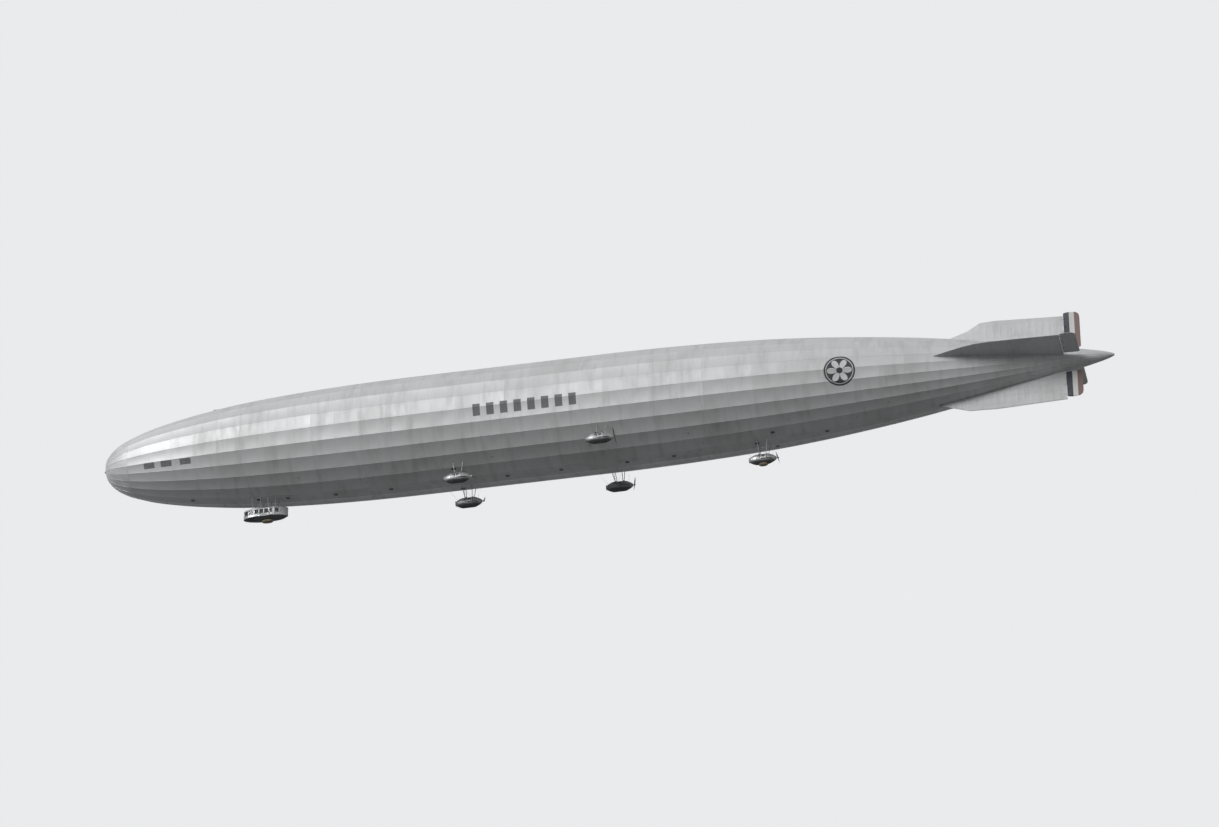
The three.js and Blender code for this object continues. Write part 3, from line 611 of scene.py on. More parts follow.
class AirshipStageSettings(bpy.types.PropertyGroup):
    azimuth: number_setting("Azimuth", "Direction of the camera round the ship, in degrees", 192.51)
    elevation: number_setting("Elevation", "Height of the camera above the horizon, in degrees", -31.73)
    roll: number_setting("Roll", "Turn of the picture, in degrees", -0.26)
    distance: length_setting("Distance", "From the origin to the camera", 105.4)
    aim: FloatVectorProperty(
        name="Aim", description="Place that the camera looks at", subtype="XYZ", size=3, unit="LENGTH",
        default=(-0.69, 0, 0),
    )
    lens: number_setting("Lens", "Focal length on a sensor 36 mm wide", 155.0, unit="CAMERA")
    eye: length_setting("Eye height", "Height of the camera above the floor", 1.6 * M)
    backdrop: colour_setting("Backdrop", "Colour of the plain backdrop", 0.82, 0.83, 0.84)
    above: number_setting("Light above", "Strength of the light from above", 0.46, min=0)
    below: number_setting("Light below", "Strength of the light from below", 0.165, min=0)
    key: number_setting("Key light", "Strength of the soft key light", 2.0, min=0)


def settings(group):
    return getattr(bpy.context.scene, group)


# Materials of the hull and tail


def cloth_weave(finish):
    """Height of the cover's plain weave with brush marks of dope over it."""
    threads = (finish.x * 5200).math("SINE") * ((finish.y + finish.z) * 5200).math("SINE")
    return threads * 0.2 + finish.noise(90) * 0.8


def round_hull(finish):
    """Distance from the hull's axis, and the turn from its top counted in gores."""
    radius = (finish.y * finish.y + finish.z * finish.z) ** 0.5
    return radius, finish.y.math("ARCTAN2", finish.z) * (GORES / (2 * math.pi))


def hull_cloth(name):
    """Silver-doped cloth with its seam tapes, bays, grime and painted marks."""
    look = settings("airship_hull")
    cloth = Finish(name)
    radius, gore = round_hull(cloth)
    bay = (cloth.x - at(0)) / look.bay
    tape_off = gore.from_whole() * radius * GORE_TURN
    frame_off = bay.from_whole() * look.bay
    tape = tape_off.rise(0.005, 0.0065, 1, 0).most(frame_off.rise(0.004, 0.0055, 1, 0))
    cell = cloth.vector(gore.whole(), bay.whole(), 3.0)
    panel = cloth.node("ShaderNodeTexWhiteNoise", {"noise_dimensions": "3D"}, {"Vector": cell})
    clouds = cloth.noise(0.9, 4)
    streaks = cloth.noise(1.0, 4, cloth.vector(cloth.x * 7, gore * 0.35, abs(cloth.y) * 0.5))
    # The cover is made darker towards the hull's underside; this is added to the grime below
    low = (cloth.z / radius.most(0.05)).rise(-1.0, 0.2, 1, 0)
    grime = streaks.rise(0.45, 0.75) * 0.35 + clouds.rise(0.4, 0.75) * 0.3 + low * 0.22
    fresh = cloth.x.rise(at(166), at(186), 1, 0.2)
    grime = (grime + panel * 0.2) * fresh + tape * 0.12
    cover = cloth.mix(grime.clamped(), look.silver, look.grime)
    marked = painted_disc(cloth, radius, look.disc).most(painted_bars(cloth, radius) * 0.8)
    marked = marked.most(louvre_marks(cloth, radius))
    worn = marked * cloth.noise(60, 2).rise(0.25, 0.4, 0.82, 1)
    colour = cloth.mix(worn, cover, look.marking)
    height = cloth_weave(cloth) * 0.15 + tape * 0.6 + clouds * 0.2
    roughness = 0.5 + grime * 0.22 + worn * 0.1
    return cloth.finished(colour, roughness, height, 0.0012, Metallic=0.36 - worn * 0.34)


def side_place(cloth, radius, middle_frame, middle_turn):
    """Distances along and down the hull's side from a point given by its frame and its turn."""
    turn = abs(cloth.y).math("ARCTAN2", cloth.z)
    return cloth.x - at(middle_frame), (turn - math.radians(middle_turn)) * radius


def painted_disc(cloth, radius, size):
    """A dark ring and hub with six pale petals between them."""
    along, down = side_place(cloth, radius, 42.7, 103)
    away = (along * along + down * down) ** 0.5
    turn = down.math("ARCTAN2", along)
    petal = abs((turn * 3).math("COSINE")) ** 0.5 * (0.8 * size)
    disc = away < size
    pale = (away < petal) * (away > 0.2 * size)
    ring = (away > 0.84 * size) * (away < 0.89 * size)
    return disc * (1 - pale.most(ring))


def painted_bars(cloth, radius):
    """A row of plain dark bars along each side."""
    along, down = side_place(cloth, radius, 106, 103.5)
    pitch = 0.28
    bar = ((along / pitch).from_middle() < 0.27) * (abs(down) < 0.125)
    return bar * (abs(along) < 4 * pitch)


def louvre_marks(cloth, radius):
    """Small louvred vents on both sides of the bow."""
    found = None
    for middle_frame in (185, 181.2, 177):
        along, down = side_place(cloth, radius, middle_frame, 119.6)
        vent = (abs(along) < 0.12) * (abs(down) < 0.06) * ((down / 0.02).fraction() > 0.25)
        found = found.most(vent) if found else vent
    return found


def cap_metal(name):
    """Satin metal plates of the nose, riveted in rows, with weather on them."""
    metal = Finish(name, Metallic=0.4)
    radius, gore = round_hull(metal)
    seam_off = gore.from_whole() * radius * GORE_TURN
    ring_off = (metal.x / 0.14).from_whole() * 0.14
    seam = seam_off.rise(0.0015, 0.0025, 1, 0).most(ring_off.rise(0.0015, 0.0025, 1, 0))
    rivet = (metal.x / 0.011).from_middle().rise(0.12, 0.2, 1, 0)
    rivet = rivet * abs(seam_off - 0.007).rise(0.001, 0.002, 1, 0)
    clouds = metal.noise(5, 4)
    streak = metal.noise(14, 3, metal.stretched(3, 0.6, 0.6))
    dull = clouds.rise(0.35, 0.7) * 0.5 + streak * 0.3 + seam * 0.2
    colour = metal.mix(dull, (0.8, 0.81, 0.82, 1), (0.5, 0.51, 0.52, 1))
    return metal.finished(colour, 0.3 + dull * 0.3, rivet * 0.6 - seam * 0.5 + clouds * 0.2, 0.0015)


def fin_cloth(name, stripes=False):
    """Doped cloth over ribs and spars, with a tape on each; a rudder's has three upright stripes."""
    look, tail = settings("airship_hull"), settings("airship_tail")
    cloth = Finish(name, Metallic=0.08 if stripes else 0.16)
    span = abs(cloth.y).most(abs(cloth.z))
    rib_off = ((cloth.x - at(POST_FRAME)) / tail.rib).from_whole() * tail.rib
    spar_off = (span / tail.rib).from_whole() * tail.rib
    tape = rib_off.rise(0.003, 0.0042, 1, 0).most(spar_off.rise(0.0022, 0.0032, 1, 0))
    clouds = cloth.noise(1.6, 4)
    streaks = cloth.noise(3, 3, cloth.stretched(4, 0.8, 0.8))
    grime = clouds.rise(0.4, 0.75) * 0.35 + streaks.rise(0.5, 0.75) * 0.3 + tape * 0.2
    if stripes:
        place = (at(HINGE_FRAME) + FLAP_NOSE * M - cloth.x) / ((FLAP_CHORD + FLAP_NOSE) * M)
        tone = cloth.mix(place > 0.36, tail.front_stripe, tail.middle_stripe)
        tone = cloth.mix(place > 0.67, tone, tail.back_stripe)
        colour = cloth.mix(grime * 0.4, tone, (0.24, 0.235, 0.23, 1))
    else:
        colour = cloth.mix(grime, shaded(look.silver, 0.84), shaded(look.grime, 0.84))
    height = cloth_weave(cloth) * 0.15 + tape * 0.6 + clouds * 0.15
    return cloth.finished(colour, 0.45 + grime * 0.2, height, 0.001)


# Hull


def gored_ring(x, radius, parts, sag=0.0):
    """Points around a ring of 25 flats, each in so many parts and sunk in its middle."""
    points = []
    for gore in range(GORES):
        a, b = gore * GORE_TURN, (gore + 1) * GORE_TURN
        for share in spaced(0, 1, parts)[:-1]:
            y = blend(math.sin(a), math.sin(b), share)
            z = blend(math.cos(a), math.cos(b), share)
            sunk = 1 - sag * (1 - (2 * share - 1) ** 2) / radius
            points.append((x, y * radius * sunk, z * radius * sunk))
    return points


def rim(outer, inner, parts):
    """Faces between a fine ring and a coarse ring, each given by the number of its first point."""
    faces = []
    for gore in range(GORES):
        edge = [outer + (gore * parts + k) % (GORES * parts) for k in range(parts + 1)]
        faces.append((*edge, inner + (gore + 1) % GORES, inner + gore))
    return faces


def gored_shell(outer, inner, parts, sag=lambda x: 0.0, blind=False):
    """A shell between outer and inner rows of (x, radius), open at both ends or blind at the first."""
    points, faces = [], []
    for x, radius in outer:
        points += gored_ring(x, radius, parts, sag(x) * radius)
    inside = len(points)
    for x, radius in inner:
        points += gored_ring(x, radius, 1)
    for start, rings, count in ((0, len(outer), GORES * parts), (inside, len(inner), GORES)):
        for i in range(rings - 1):
            a = start + i * count
            for k in range(count):
                n = (k + 1) % count
                faces.append((a + k, a + n, a + count + n, a + count + k))
    faces += rim((len(outer) - 1) * GORES * parts, inside + (len(inner) - 1) * GORES, parts)
    faces += [range(GORES * parts), range(inside, inside + GORES)] if blind else rim(0, inside, parts)
    return Shape().add(points, faces)


def hatch_box(ladder, low, high, place):
    """A square hole about a ladder, between two heights of the frame that the ladder stands in."""
    ahead, behind, half = HATCH
    return Shape(place).box((*real(ladder - behind, -half), low), (*real(ladder + ahead, half), high))


def car_place(name, radial=False):
    """The middle of a power car, upright or turned so that up points to the hull's axis."""
    middle, port, height, _ = CARS[name]
    turn = math.atan2(port, -height) if radial else 0
    return shift(at(middle), port * M, height * M) @ spin(turn, "X")


def car_surface(name):
    """Height of the hull's surface above a power car's middle, in the radial frame."""
    middle, port, height, _ = CARS[name]
    return (math.hypot(port, height) - hull_radius(middle)) * M


def control_place():
    return shift(at(CONTROL_FRAME))


def make_cover(name, front, back, cloth):
    """One length of the cover, sunk between the frames and the corners, with its hatches cut."""
    look = settings("airship_hull")
    steps = 6
    bay_length = max(round(look.bay / M), 1)
    frames = [back, *(f for f in range(0, CAP_FRAME, bay_length) if back < f < front), front]
    outer, phases = [], {}
    for a, b in zip(frames, frames[1:]):
        for k in range(steps):
            f = blend(a, b, k / steps)
            phases[at(f)] = k / steps
            outer.append((at(f), hull_radius(f) * M))
    outer.append((at(front), hull_radius(front) * M))
    outer[0] = (outer[0][0] + HALF_SEAT, outer[0][1])
    outer[-1] = (outer[-1][0] - HALF_SEAT, outer[-1][1])

    def sag(x):
        bay = 1 - (2 * phases.get(x, 0) - 1) ** 4
        return look.sag * GORE_TURN * (0.8 + 1.4 * bay)

    inner = [(x, radius - COVER_WALL) for x, radius in (*outer[:-1:3], outer[-1])]
    shell = gored_shell(outer, inner, 6, sag)
    panels = {key: row for key, row in HATCH_PANELS.items() if back < row[1] and row[0] < front}
    for panel in panels.values():
        lace_panel(shell, *panel)
    cover = shell.piece(f"{name}_cloth", [cloth], "hull", "cover", (name, *panels), sharp=9)
    hatches = [(CARS[car][0], CAR_LADDER, car_surface(car), car_place(car, True)) for car in CARS]
    hatches.append((CONTROL_FRAME, CONTROL_LADDER, -hull_radius(CONTROL_FRAME) * M, control_place()))
    for middle, ladder, surface, place in hatches:
        if back < middle < front:
            cut_away(cover, hatch_box(ladder, surface - 0.04, surface + 0.06, place), 9)


def lace_panel(shell, front, back, first, last):
    """Adds the corded edge of a panel that is laced into the cover."""
    middle = (first + last) // 2
    edge = [(front, first), (front, middle), (front, last), (back, last), (back, middle), (back, first)]
    corners = []
    for f, corner in edge:
        radius = hull_radius(f) * M + 0.0008
        turn = corner * GORE_TURN
        corners.append((at(f), radius * math.sin(turn), radius * math.cos(turn)))
    shell.loop(corners, 0.0022, 8)


def nose_rows():
    """Rows of (x, radius) of the nose cap's outside from its point back, on a smooth curve."""
    rows = [row for row in HULL if row[0] >= CAP_FRAME - 4]
    lengths = [0.0]
    for a, b in zip(rows, rows[1:]):
        lengths.append(lengths[-1] + math.dist(a, b))
    along = [(s, -row[0]) for s, row in zip(lengths, rows)]
    across = [(s, row[1]) for s, row in zip(lengths, rows)]
    return [(at(-hermite(along, s)), hermite(across, s) * M) for s in spaced(0, lengths[-2], 24)]


def make_nose(metal):
    """The cap's plates, blind at the point, and the stiffening battens over its corners."""
    rows = nose_rows()
    rows[-1] = (rows[-1][0] + HALF_SEAT, rows[-1][1])
    inner = [(x - 0.6 * COVER_WALL, radius - COVER_WALL) for x, radius in rows[8:-1:4]]
    inner.append((rows[-1][0], rows[-1][1] - COVER_WALL))
    shape = gored_shell(rows, inner, 4, blind=True)
    for gore in range(GORES):
        turn = gore * GORE_TURN
        across = [(x, radius + 0.001) for x, radius in rows[2:-1:2]]
        batten = [(x, radius * math.sin(turn), radius * math.cos(turn)) for x, radius in across]
        shape.tube(batten, [0.0015, *[0.003] * (len(batten) - 2), 0.002], 6)
    shape.piece("nose_cap_plates", [metal], "hull", "cap", ("nose_cap",), sharp=9)


def make_tail_cone(cloth):
    """The pointed cone behind the post, blind at its point."""
    table = [row for row in HULL if row[0] <= 10]
    rows = [(at(f), hermite(table, f) * M) for f in spaced(HULL[-1][0], POST_FRAME, 16)]
    rows[-1] = (rows[-1][0] - HALF_SEAT, rows[-1][1])
    inner = [(x, radius - COVER_WALL) for x, radius in rows[5:-1:3]]
    inner.append((rows[-1][0], rows[-1][1] - COVER_WALL))
    shape = gored_shell(rows, inner, 4, lambda x: 0.004, blind=True)
    shape.piece("tail_cone_cloth", [cloth], "hull", "cover", ("tail_cone",), sharp=9)


# Finishes of the fittings and cars


def fittings_paint(name, colour=(0.3, 0.31, 0.315, 1), metallic=0.3, roughness=0.45):
    """Painted metal with thin spots along it and a little dirt."""
    paint = Finish(name, Metallic=metallic)
    wear = paint.noise(26, 4).rise(0.5, 0.72)
    dirt = paint.noise(7, 4).rise(0.4, 0.8)
    tone = paint.mix(dirt * 0.5, colour, shaded(colour, 0.6))
    tone = paint.mix(wear * 0.35, tone, shaded(colour, 1.5))
    return paint.finished(tone, roughness + dirt * 0.25 - wear * 0.1, paint.noise(160, 2), 0.0003)


def car_sheet(name, shade_free_level, full_shade_level):
    """Duralumin sheet in lapped bands with rows of rivets and streaks of oil, painted darker below a height
    as painted shade under the car.
    """
    look = settings("airship_cars")
    metal = Finish(name, Metallic=0.6)
    band = 0.09
    seam_off = (metal.x / band).from_whole() * band
    level_off = (metal.z / band + 0.31).from_whole() * band
    lap = seam_off.rise(0.0008, 0.0016, 1, 0).most(level_off.rise(0.0008, 0.0016, 1, 0) * 0.7)
    row = abs(seam_off - 0.0035).rise(0.0006, 0.0012, 1, 0)
    rivet = row * ((metal.z + metal.y) / 0.006).from_middle().rise(0.14, 0.24, 1, 0)
    clouds = metal.noise(9, 4)
    streaks = metal.noise(16, 4, metal.stretched(1, 0.4, 2.4))
    oil = streaks.rise(0.5, 0.8) * 0.5
    dull = clouds.rise(0.35, 0.75) * 0.5 + oil + lap * 0.35
    colour = metal.mix(dull, look.metal, shaded(look.metal, 0.5))
    # Painted shade: the sheet is darkened below a height to stand for the shade under the car, and the oil
    # streaks break its edge
    soot_and_shade = (metal.z + (streaks - 0.5) * 0.02).rise(full_shade_level, shade_free_level, 0.86, 0)
    colour = metal.mix(soot_and_shade, colour, look.soot_and_shade)
    return metal.finished(colour, 0.36 + dull * 0.3, rivet * 0.7 - lap * 0.5 + clouds * 0.15, 0.0012)


def varnished_wood(name, pale=None, dark=(0.09, 0.033, 0.012, 1)):
    """Glued laminations with a fine grain under varnish."""
    pale = pale or settings("airship_cars").wood
    wood = Finish(name, Coat_Weight=0.5, Coat_Roughness=0.12)
    grain = wood.noise(22, 4, wood.stretched(30, 1, 1))
    layer = wood.x / 0.0045 + grain * 0.4
    edge = layer.from_middle().rise(0.42, 0.5)
    other = (layer.whole() * 0.5).fraction() * 2
    fine = wood.noise(240, 3, wood.stretched(8, 1, 1))
    tone = edge * 0.8 + other * 0.22 + fine * 0.35
    return wood.finished(wood.mix(tone.clamped(), pale, dark), 0.28 + fine * 0.15, fine - edge * 0.4, 0.0004)


def planks(name):
    """Scrubbed boards with gaps."""
    wood = Finish(name)
    gap = (wood.y / 0.014).from_middle().rise(0.44, 0.49)
    grain = wood.noise(40, 4, wood.stretched(2, 14, 2))
    tone = (gap * 0.9 + grain * 0.5).clamped()
    colour = wood.mix(tone, (0.34, 0.27, 0.19, 1), (0.11, 0.085, 0.06, 1))
    return wood.finished(colour, 0.6 + grain * 0.3, grain - gap, 0.0008)


def brass(name):
    """Brass with clouds of tarnish."""
    metal = Finish(name, Metallic=0.9)
    tarnish = metal.noise(30, 4).rise(0.35, 0.75)
    colour = metal.mix(tarnish, (0.62, 0.45, 0.18, 1), (0.28, 0.19, 0.08, 1))
    return metal.finished(colour, 0.25 + tarnish * 0.35, metal.noise(200, 2), 0.0002)


def window_glass(name):
    """Celluloid panes, grey in the daylight, with a few scuffs."""
    glass = Finish(name, IOR=1.49, Specular_IOR_Level=0.6)
    scuff = glass.noise(30, 4).rise(0.5, 0.8)
    colour = glass.mix(scuff * 0.5, (0.05, 0.06, 0.066, 1), (0.16, 0.17, 0.175, 1))
    ripple = glass.noise(14, 2)
    return glass.finished(colour, 0.08 + scuff * 0.25, ripple, 0.0006, Alpha=0.72 + scuff * 0.2)


def bag_canvas(name):
    """Proofed canvas with a weave, in clouds of paler and darker canvas, with scuffs."""
    canvas = Finish(name, Sheen_Weight=0.2)
    weave = (canvas.x * 3600).math("SINE") * ((canvas.y - canvas.z) * 3600).math("SINE")
    clouds = canvas.noise(12, 4).rise(0.3, 0.75)
    scuff = canvas.noise(60, 4).rise(0.55, 0.75)
    colour = canvas.mix(clouds, (0.2, 0.165, 0.115, 1), (0.12, 0.1, 0.075, 1))
    colour = canvas.mix(scuff * 0.5, colour, (0.3, 0.26, 0.2, 1))
    return canvas.finished(colour, 0.78 + scuff * 0.15, weave * 0.25 + clouds * 0.5, 0.0006)


def radiator_core(name):
    """Honeycomb of a radiator, dark with brassy cell edges."""
    core = Finish(name, Metallic=0.6)
    values = {"Vector": core.place, "Scale": 230, "Randomness": 0.15}
    wall = core.node("ShaderNodeTexVoronoi", {"feature": "DISTANCE_TO_EDGE"}, values).rise(0.06, 0.16, 1, 0)
    soot_and_shade = core.noise(20)
    colour = core.mix(wall * 0.8, (0.012, 0.012, 0.012, 1), (0.2, 0.16, 0.09, 1))
    return core.finished(colour, 0.45 + soot_and_shade * 0.3, wall, 0.002)


# Tail


def fin_outline(tail, frame_number):
    """Height of a fin's outer edge at a frame, in real metres from the hull's axis."""
    shoulder, tip = tail[3:5]
    edge = [
        (POST_FRAME, tip), (SHOULDER_FRAME - 1, shoulder), (SHOULDER_FRAME + 1.6, shoulder - 0.15),
        (FIN_FRONT - 8.6, 9.25), (FIN_FRONT, 6.4),
    ]
    return along_lines(edge, frame_number)


def quarter(tail):
    return spin(tail[2] * math.pi / 2, "X")


def hinge_spans(tail):
    reach = min(tail[4], tail[5]) - FLAP_ROOT
    return [(FLAP_ROOT + reach * share) * M for share in HINGES]


def fin_root(frame_number):
    """Height at which a fin ends, just inside the hull's flats."""
    return hull_radius(frame_number) * FLAT_SHARE - 0.05


def ribbed(place):
    """From 0 halfway between two ribs to 1 on a rib, from a place counted in ribs."""
    return (abs(place % 1 - 0.5) * 2) ** 6


def make_fin(tail, cloth, steel):
    """A fin with ribs proud of its sunk cloth, a rounded edge and the hinge brackets at its back."""
    rib = settings("airship_tail").rib
    name = f"{tail[0]}_fin"

    def point(side, u, v):
        f = FIN_FRONT - (FIN_FRONT - POST_FRAME) * u
        edge = fin_outline(tail, f)
        span = blend(min(fin_root(f), edge - 0.05), edge, v)
        inward = min((edge - span) / 1.2, (FIN_FRONT - f) / 3, 1)
        thick = blend(0.05, 0.2, max(inward, 0) ** 0.6)
        thick = min(thick, blend(0.13, 0.2, min((f - POST_FRAME) / 2, 1)))
        if v > 0.999:
            thick *= 0.45
        open_cloth = (1 - ribbed((f - POST_FRAME) * M / rib)) * (1 - ribbed(span * M / rib))
        sunk = open_cloth * 0.02 * min(thick / 0.2, 1)
        return at(f), side * (thick - sunk) * M, span * M

    shape = Shape(quarter(tail)).slab(point, (1, -1), (120, 44))
    hinge, post = at(HINGE_FRAME), at(POST_FRAME)
    for span in hinge_spans(tail):
        low, high = (hinge - 0.002, -0.005, span - 0.0028), (post + 0.012, 0.005, span + 0.0028)
        shape.box(low, high, 1, ease=0.0008)
        shape.tube([(hinge, 0, span - 0.029), (hinge, 0, span + 0.029)], 0.0038, 16, 1)
        for side in SIDES:
            shape.block((post + 0.0305, side * 0.01425, span), (0.0295, 0.00225, 0.004), 1, ease=0.001)
    shape.piece(f"{name}_cloth", [cloth, steel], "hull", "cover", (name,), sharp=24)


def flap_outline(tail, u):
    """Low and high ends of a flap at a share of its chord from the hinge's front to the back edge."""
    top = tail[5]
    behind = u * (FLAP_CHORD + FLAP_NOSE) - FLAP_NOSE
    high = [
        (-FLAP_NOSE, top - 0.25), (0.2, top - 0.08), (0.9, top), (2.3, top - 0.1), (2.95, top - 0.55),
        (3.1, top - 1.3),
    ]
    low = [(-FLAP_NOSE, FLAP_ROOT), (0.2, FLAP_ROOT), (2.7, FLAP_ROOT - 0.15), (3.1, FLAP_ROOT + 0.1)]
    return along_lines(low, behind), along_lines(high, behind)


def make_flap(tail, cloth, steel):
    """A rudder or elevator: a round nose about the hinge, sunk cloth between ribs, and control horns."""
    name = f"{tail[0]}_{tail[1]}"
    hinge = at(HINGE_FRAME)
    pitch = 0.75

    def point(side, u, v):
        u = u ** 1.5
        low, high = flap_outline(tail, u)
        behind = u * (FLAP_CHORD + FLAP_NOSE)
        nose = math.sqrt(max(1 - (1 - behind / FLAP_NOSE) ** 2, 0)) if behind < FLAP_NOSE else 1
        thick = blend(0.12, 0.025, max(u - 0.04, 0) / 0.96) * nose
        span = blend(low, high, v)
        thick = min(thick, 0.03 + min(span - low, high - span) * 0.6)
        sunk = (1 - ribbed(span / pitch)) * 0.013 * min(thick / 0.1, 1) * min(behind / 0.3, 1)
        return hinge + (FLAP_NOSE - behind) * M, side * max(thick - sunk, 0.004) * M, span * M

    place = quarter(tail)
    made = Shape(place).slab(point, (1, -1), (44, 90))
    made = made.piece(f"{name}_cloth", [cloth, steel], name, "rudder_cover", (name,), sharp=24)
    spans = hinge_spans(tail)
    brackets, pins, horns = Shape(place), Shape(place), Shape(place)
    for span in spans:
        brackets.box((hinge - 0.0125, -0.024, span - 0.008), (hinge + 0.024, 0.024, span + 0.008))
        pins.tube([(hinge, 0, span - 0.0312), (hinge, 0, span + 0.0312)], 0.0043, 16)
    cut_away(made, brackets, 24)
    cut_away(made, pins, 24)
    for share in (0.3, 0.72):
        span = blend(spans[0], spans[2], share)
        for side in SIDES:
            ends = []
            for y, front, back, half in ((0.0095, 0.005, 0.03, 0.002), (0.048, 0.012, 0.018, 0.0012)):
                corners = [(front, -half), (back, -half), (back, half), (front, half)]
                ends.append([(hinge - behind, side * y, span + up) for behind, up in corners])
            horns.skin(ends)
            horns.ball(0.0026, 0, shift(hinge - 0.015, side * 0.048, span))
    horns.piece(f"{name}_horns", [steel], name, "steel", sharp=30)


def make_stays(steel):
    """The main stays between the fins, and lighter bracing wires beside them."""
    wires = Shape()
    radius = settings("airship_cars").wire
    for i, tail in enumerate(TAIL):
        other = TAIL[(i + 1) % len(TAIL)]
        dress(f"{tail[0]}_to_{other[0]}_stay", steel)
        for f, span in ((4, 7.6), (12.5, 8.6), (17, 7.4)):
            ends = [quarter(row) @ Vector((at(f), 0, span * M)) for row in (tail, other)]
            inward = (ends[1] - ends[0]).normalized() * 0.012
            wires.tube([ends[0] + inward, ends[1] - inward], radius, 6)
            for end, step in zip(ends, (inward, -inward)):
                wires.tube([end + step * share for share in (1, 2.2, 3.4)], [0.0022, 0.0028, 0.0012])
    wires.piece("tail_bracing_wires", [steel], "hull", "steel", sharp=40)


# Nose, deck and fittings of the hull


def make_spindle(steel):
    """The mooring spindle: a bolted flange, a cone and a grooved ball for the mast's cup."""
    foot = at(HULL[0][0]) + HALF_SEAT
    profile = [
        (0, 0), (0, 0.54), (0.05, 0.55), (0.08, 0.53), (0.09, 0.4), (0.14, 0.3), (0.2, 0.26), (0.25, 0.255),
        (0.26, 0.22), (0.28, 0.22), (0.29, 0.25), (0.33, 0.24), (0.37, 0.19), (0.395, 0.1), (0.4, 0),
    ]
    shape = Shape(shift(foot)).turned([real(*row) for row in profile], 32)
    bolt = [(0, 0), (0, 0.003), (0.0022, 0.003), (0.0026, 0.002), (0.0026, 0)]
    for turn in around(12):
        shape.turned(bolt, 6, 0, shift(0.008, 0.047 * math.sin(turn), 0.047 * math.cos(turn)))
    shape.piece("mooring_spindle_cone", [steel], "hull", "steel", ("mooring_spindle",))


def top_of_hull(frame_number, aside):
    """Height of the hull's upper surface at a frame, some real metres to the side."""
    return math.sqrt((hull_radius(frame_number) * 0.9975) ** 2 - aside * aside) * M


def make_deck(wood, steel, canvas):
    """The lookout's deck on top of the bow, with its boards, rails and a canvas screen across its front."""
    x0, x1, half = at(DECK[0] - DECK[1]), at(DECK[0] + DECK[1]), DECK[2] * M
    middle, reach = at(DECK[0]), DECK[1] * M
    top = DECK_TOP
    low = top_of_hull(DECK[0] - DECK[1], DECK[2]) - 0.03
    rail = top + 0.1
    levels = (rail, rail - 0.045)
    inset = 0.004
    shape = Shape()
    shape.box((x0 + 0.002, -half + 0.002, top - 0.012), (x1 - 0.002, half - 0.002, top - 0.001), ease=0.001)
    for side in SIDES:
        y, x = side * (half - 0.003), middle + side * (reach - 0.003)
        shape.box((x0, y - 0.003, low), (x1, y + 0.003, top + 0.002), 1, ease=0.001)
        shape.box((x - 0.003, 0.006 - half, low), (x + 0.003, half - 0.006, top + 0.002), 1, ease=0.001)
        y, x = side * (half - inset), middle + side * (reach - inset)
        for post in spaced(x0 + inset, x1 - inset, 4):
            shape.tube([(post, y, top), (post, y, rail)], 0.0016, 8, 1)
            shape.ball(0.0026, 1, shift(post, y, rail), 8)
        for level in levels:
            shape.tube([(x0 + inset, y, level), (x1 - inset, y, level)], 0.0014, 8, 1)
            shape.tube([(x, inset - half, level), (x, half - inset, level)], 0.0014, 8, 1)
    shape.piece("lookout_deck", [wood, steel], "hull", "steel", ("top_platform",))

    def point(offset, u, v):
        ripple = 0.0018 * math.sin(u * 34) * math.sin(math.pi * v)
        y = blend(-half + 0.006, half - 0.006, u)
        return x1 - 0.001 + ripple + offset, y, blend(top + inset, rail - inset, v)

    wind = Shape().slab(point, (0, -0.0008), (48, 10))
    wind = wind.piece("lookout_canvas_screen", [canvas], "hull", "cover")
    flat = (2 * half - 0.012, rail - top - 2 * inset)


def make_top_fittings(wood, steel):
    """A treadway of boards along the top with its hand line, and hoods over the gas valves."""
    frames = spaced(24, 168, 72)

    def point(lift, u, v):
        f = blend(frames[0], frames[-1], u)
        y = blend(-0.3, 0.3, v)
        return at(f), y * M, top_of_hull(f, y) + lift * (0.35 if v in (0, 1) else 1)

    strip = Shape().slab(point, (0.0035, -0.004), (144, 4))
    strip.piece("top_treadway", [wood], "hull", "cover", sharp=30)
    fittings = Shape()
    hood = [(0.035, -0.02), (0.034, 0.0), (0.031, 0.005), (0.024, 0.0085), (0.01, 0.01)]
    rings = [[(r * math.cos(a), r * 0.8 * math.sin(a), z - 0.001) for a in around(24)] for r, z in hood]
    for side in SIDES:
        line = [Vector((at(f), side * 0.042, top_of_hull(f, 0.42))) for f in frames]
        fittings.tube([point + Vector((0, 0, 0.006)) for point in line], 0.0008, 6)
        for point in line[::2]:
            fittings.tube([point - Vector((0, 0, 0.004)), point + Vector((0, 0, 0.0065))], 0.0012, 6)
        for f in range(30, 180, 10):
            radius = hull_radius(f) * M * math.cos(GORE_TURN / 2)
            fittings.skin(rings, 0, spin(-side * 1.5 * GORE_TURN, "X") @ shift(at(f + 2.5), 0, radius))
    fittings.piece("top_valve_hoods", [steel], "hull", "steel", sharp=40)


def on_hull(frame_number, turn):
    """A place on a flat of the hull, its up pointing away from the axis; the turn is counted in flats."""
    radius = hull_radius(frame_number) * M * math.cos(GORE_TURN / 2)
    slope = (hull_radius(frame_number + 1) - hull_radius(frame_number - 1)) / 2
    lean = spin(-math.atan(slope), "Y")
    return spin(-(turn + 0.5) * GORE_TURN, "X") @ shift(at(frame_number), 0, radius) @ lean


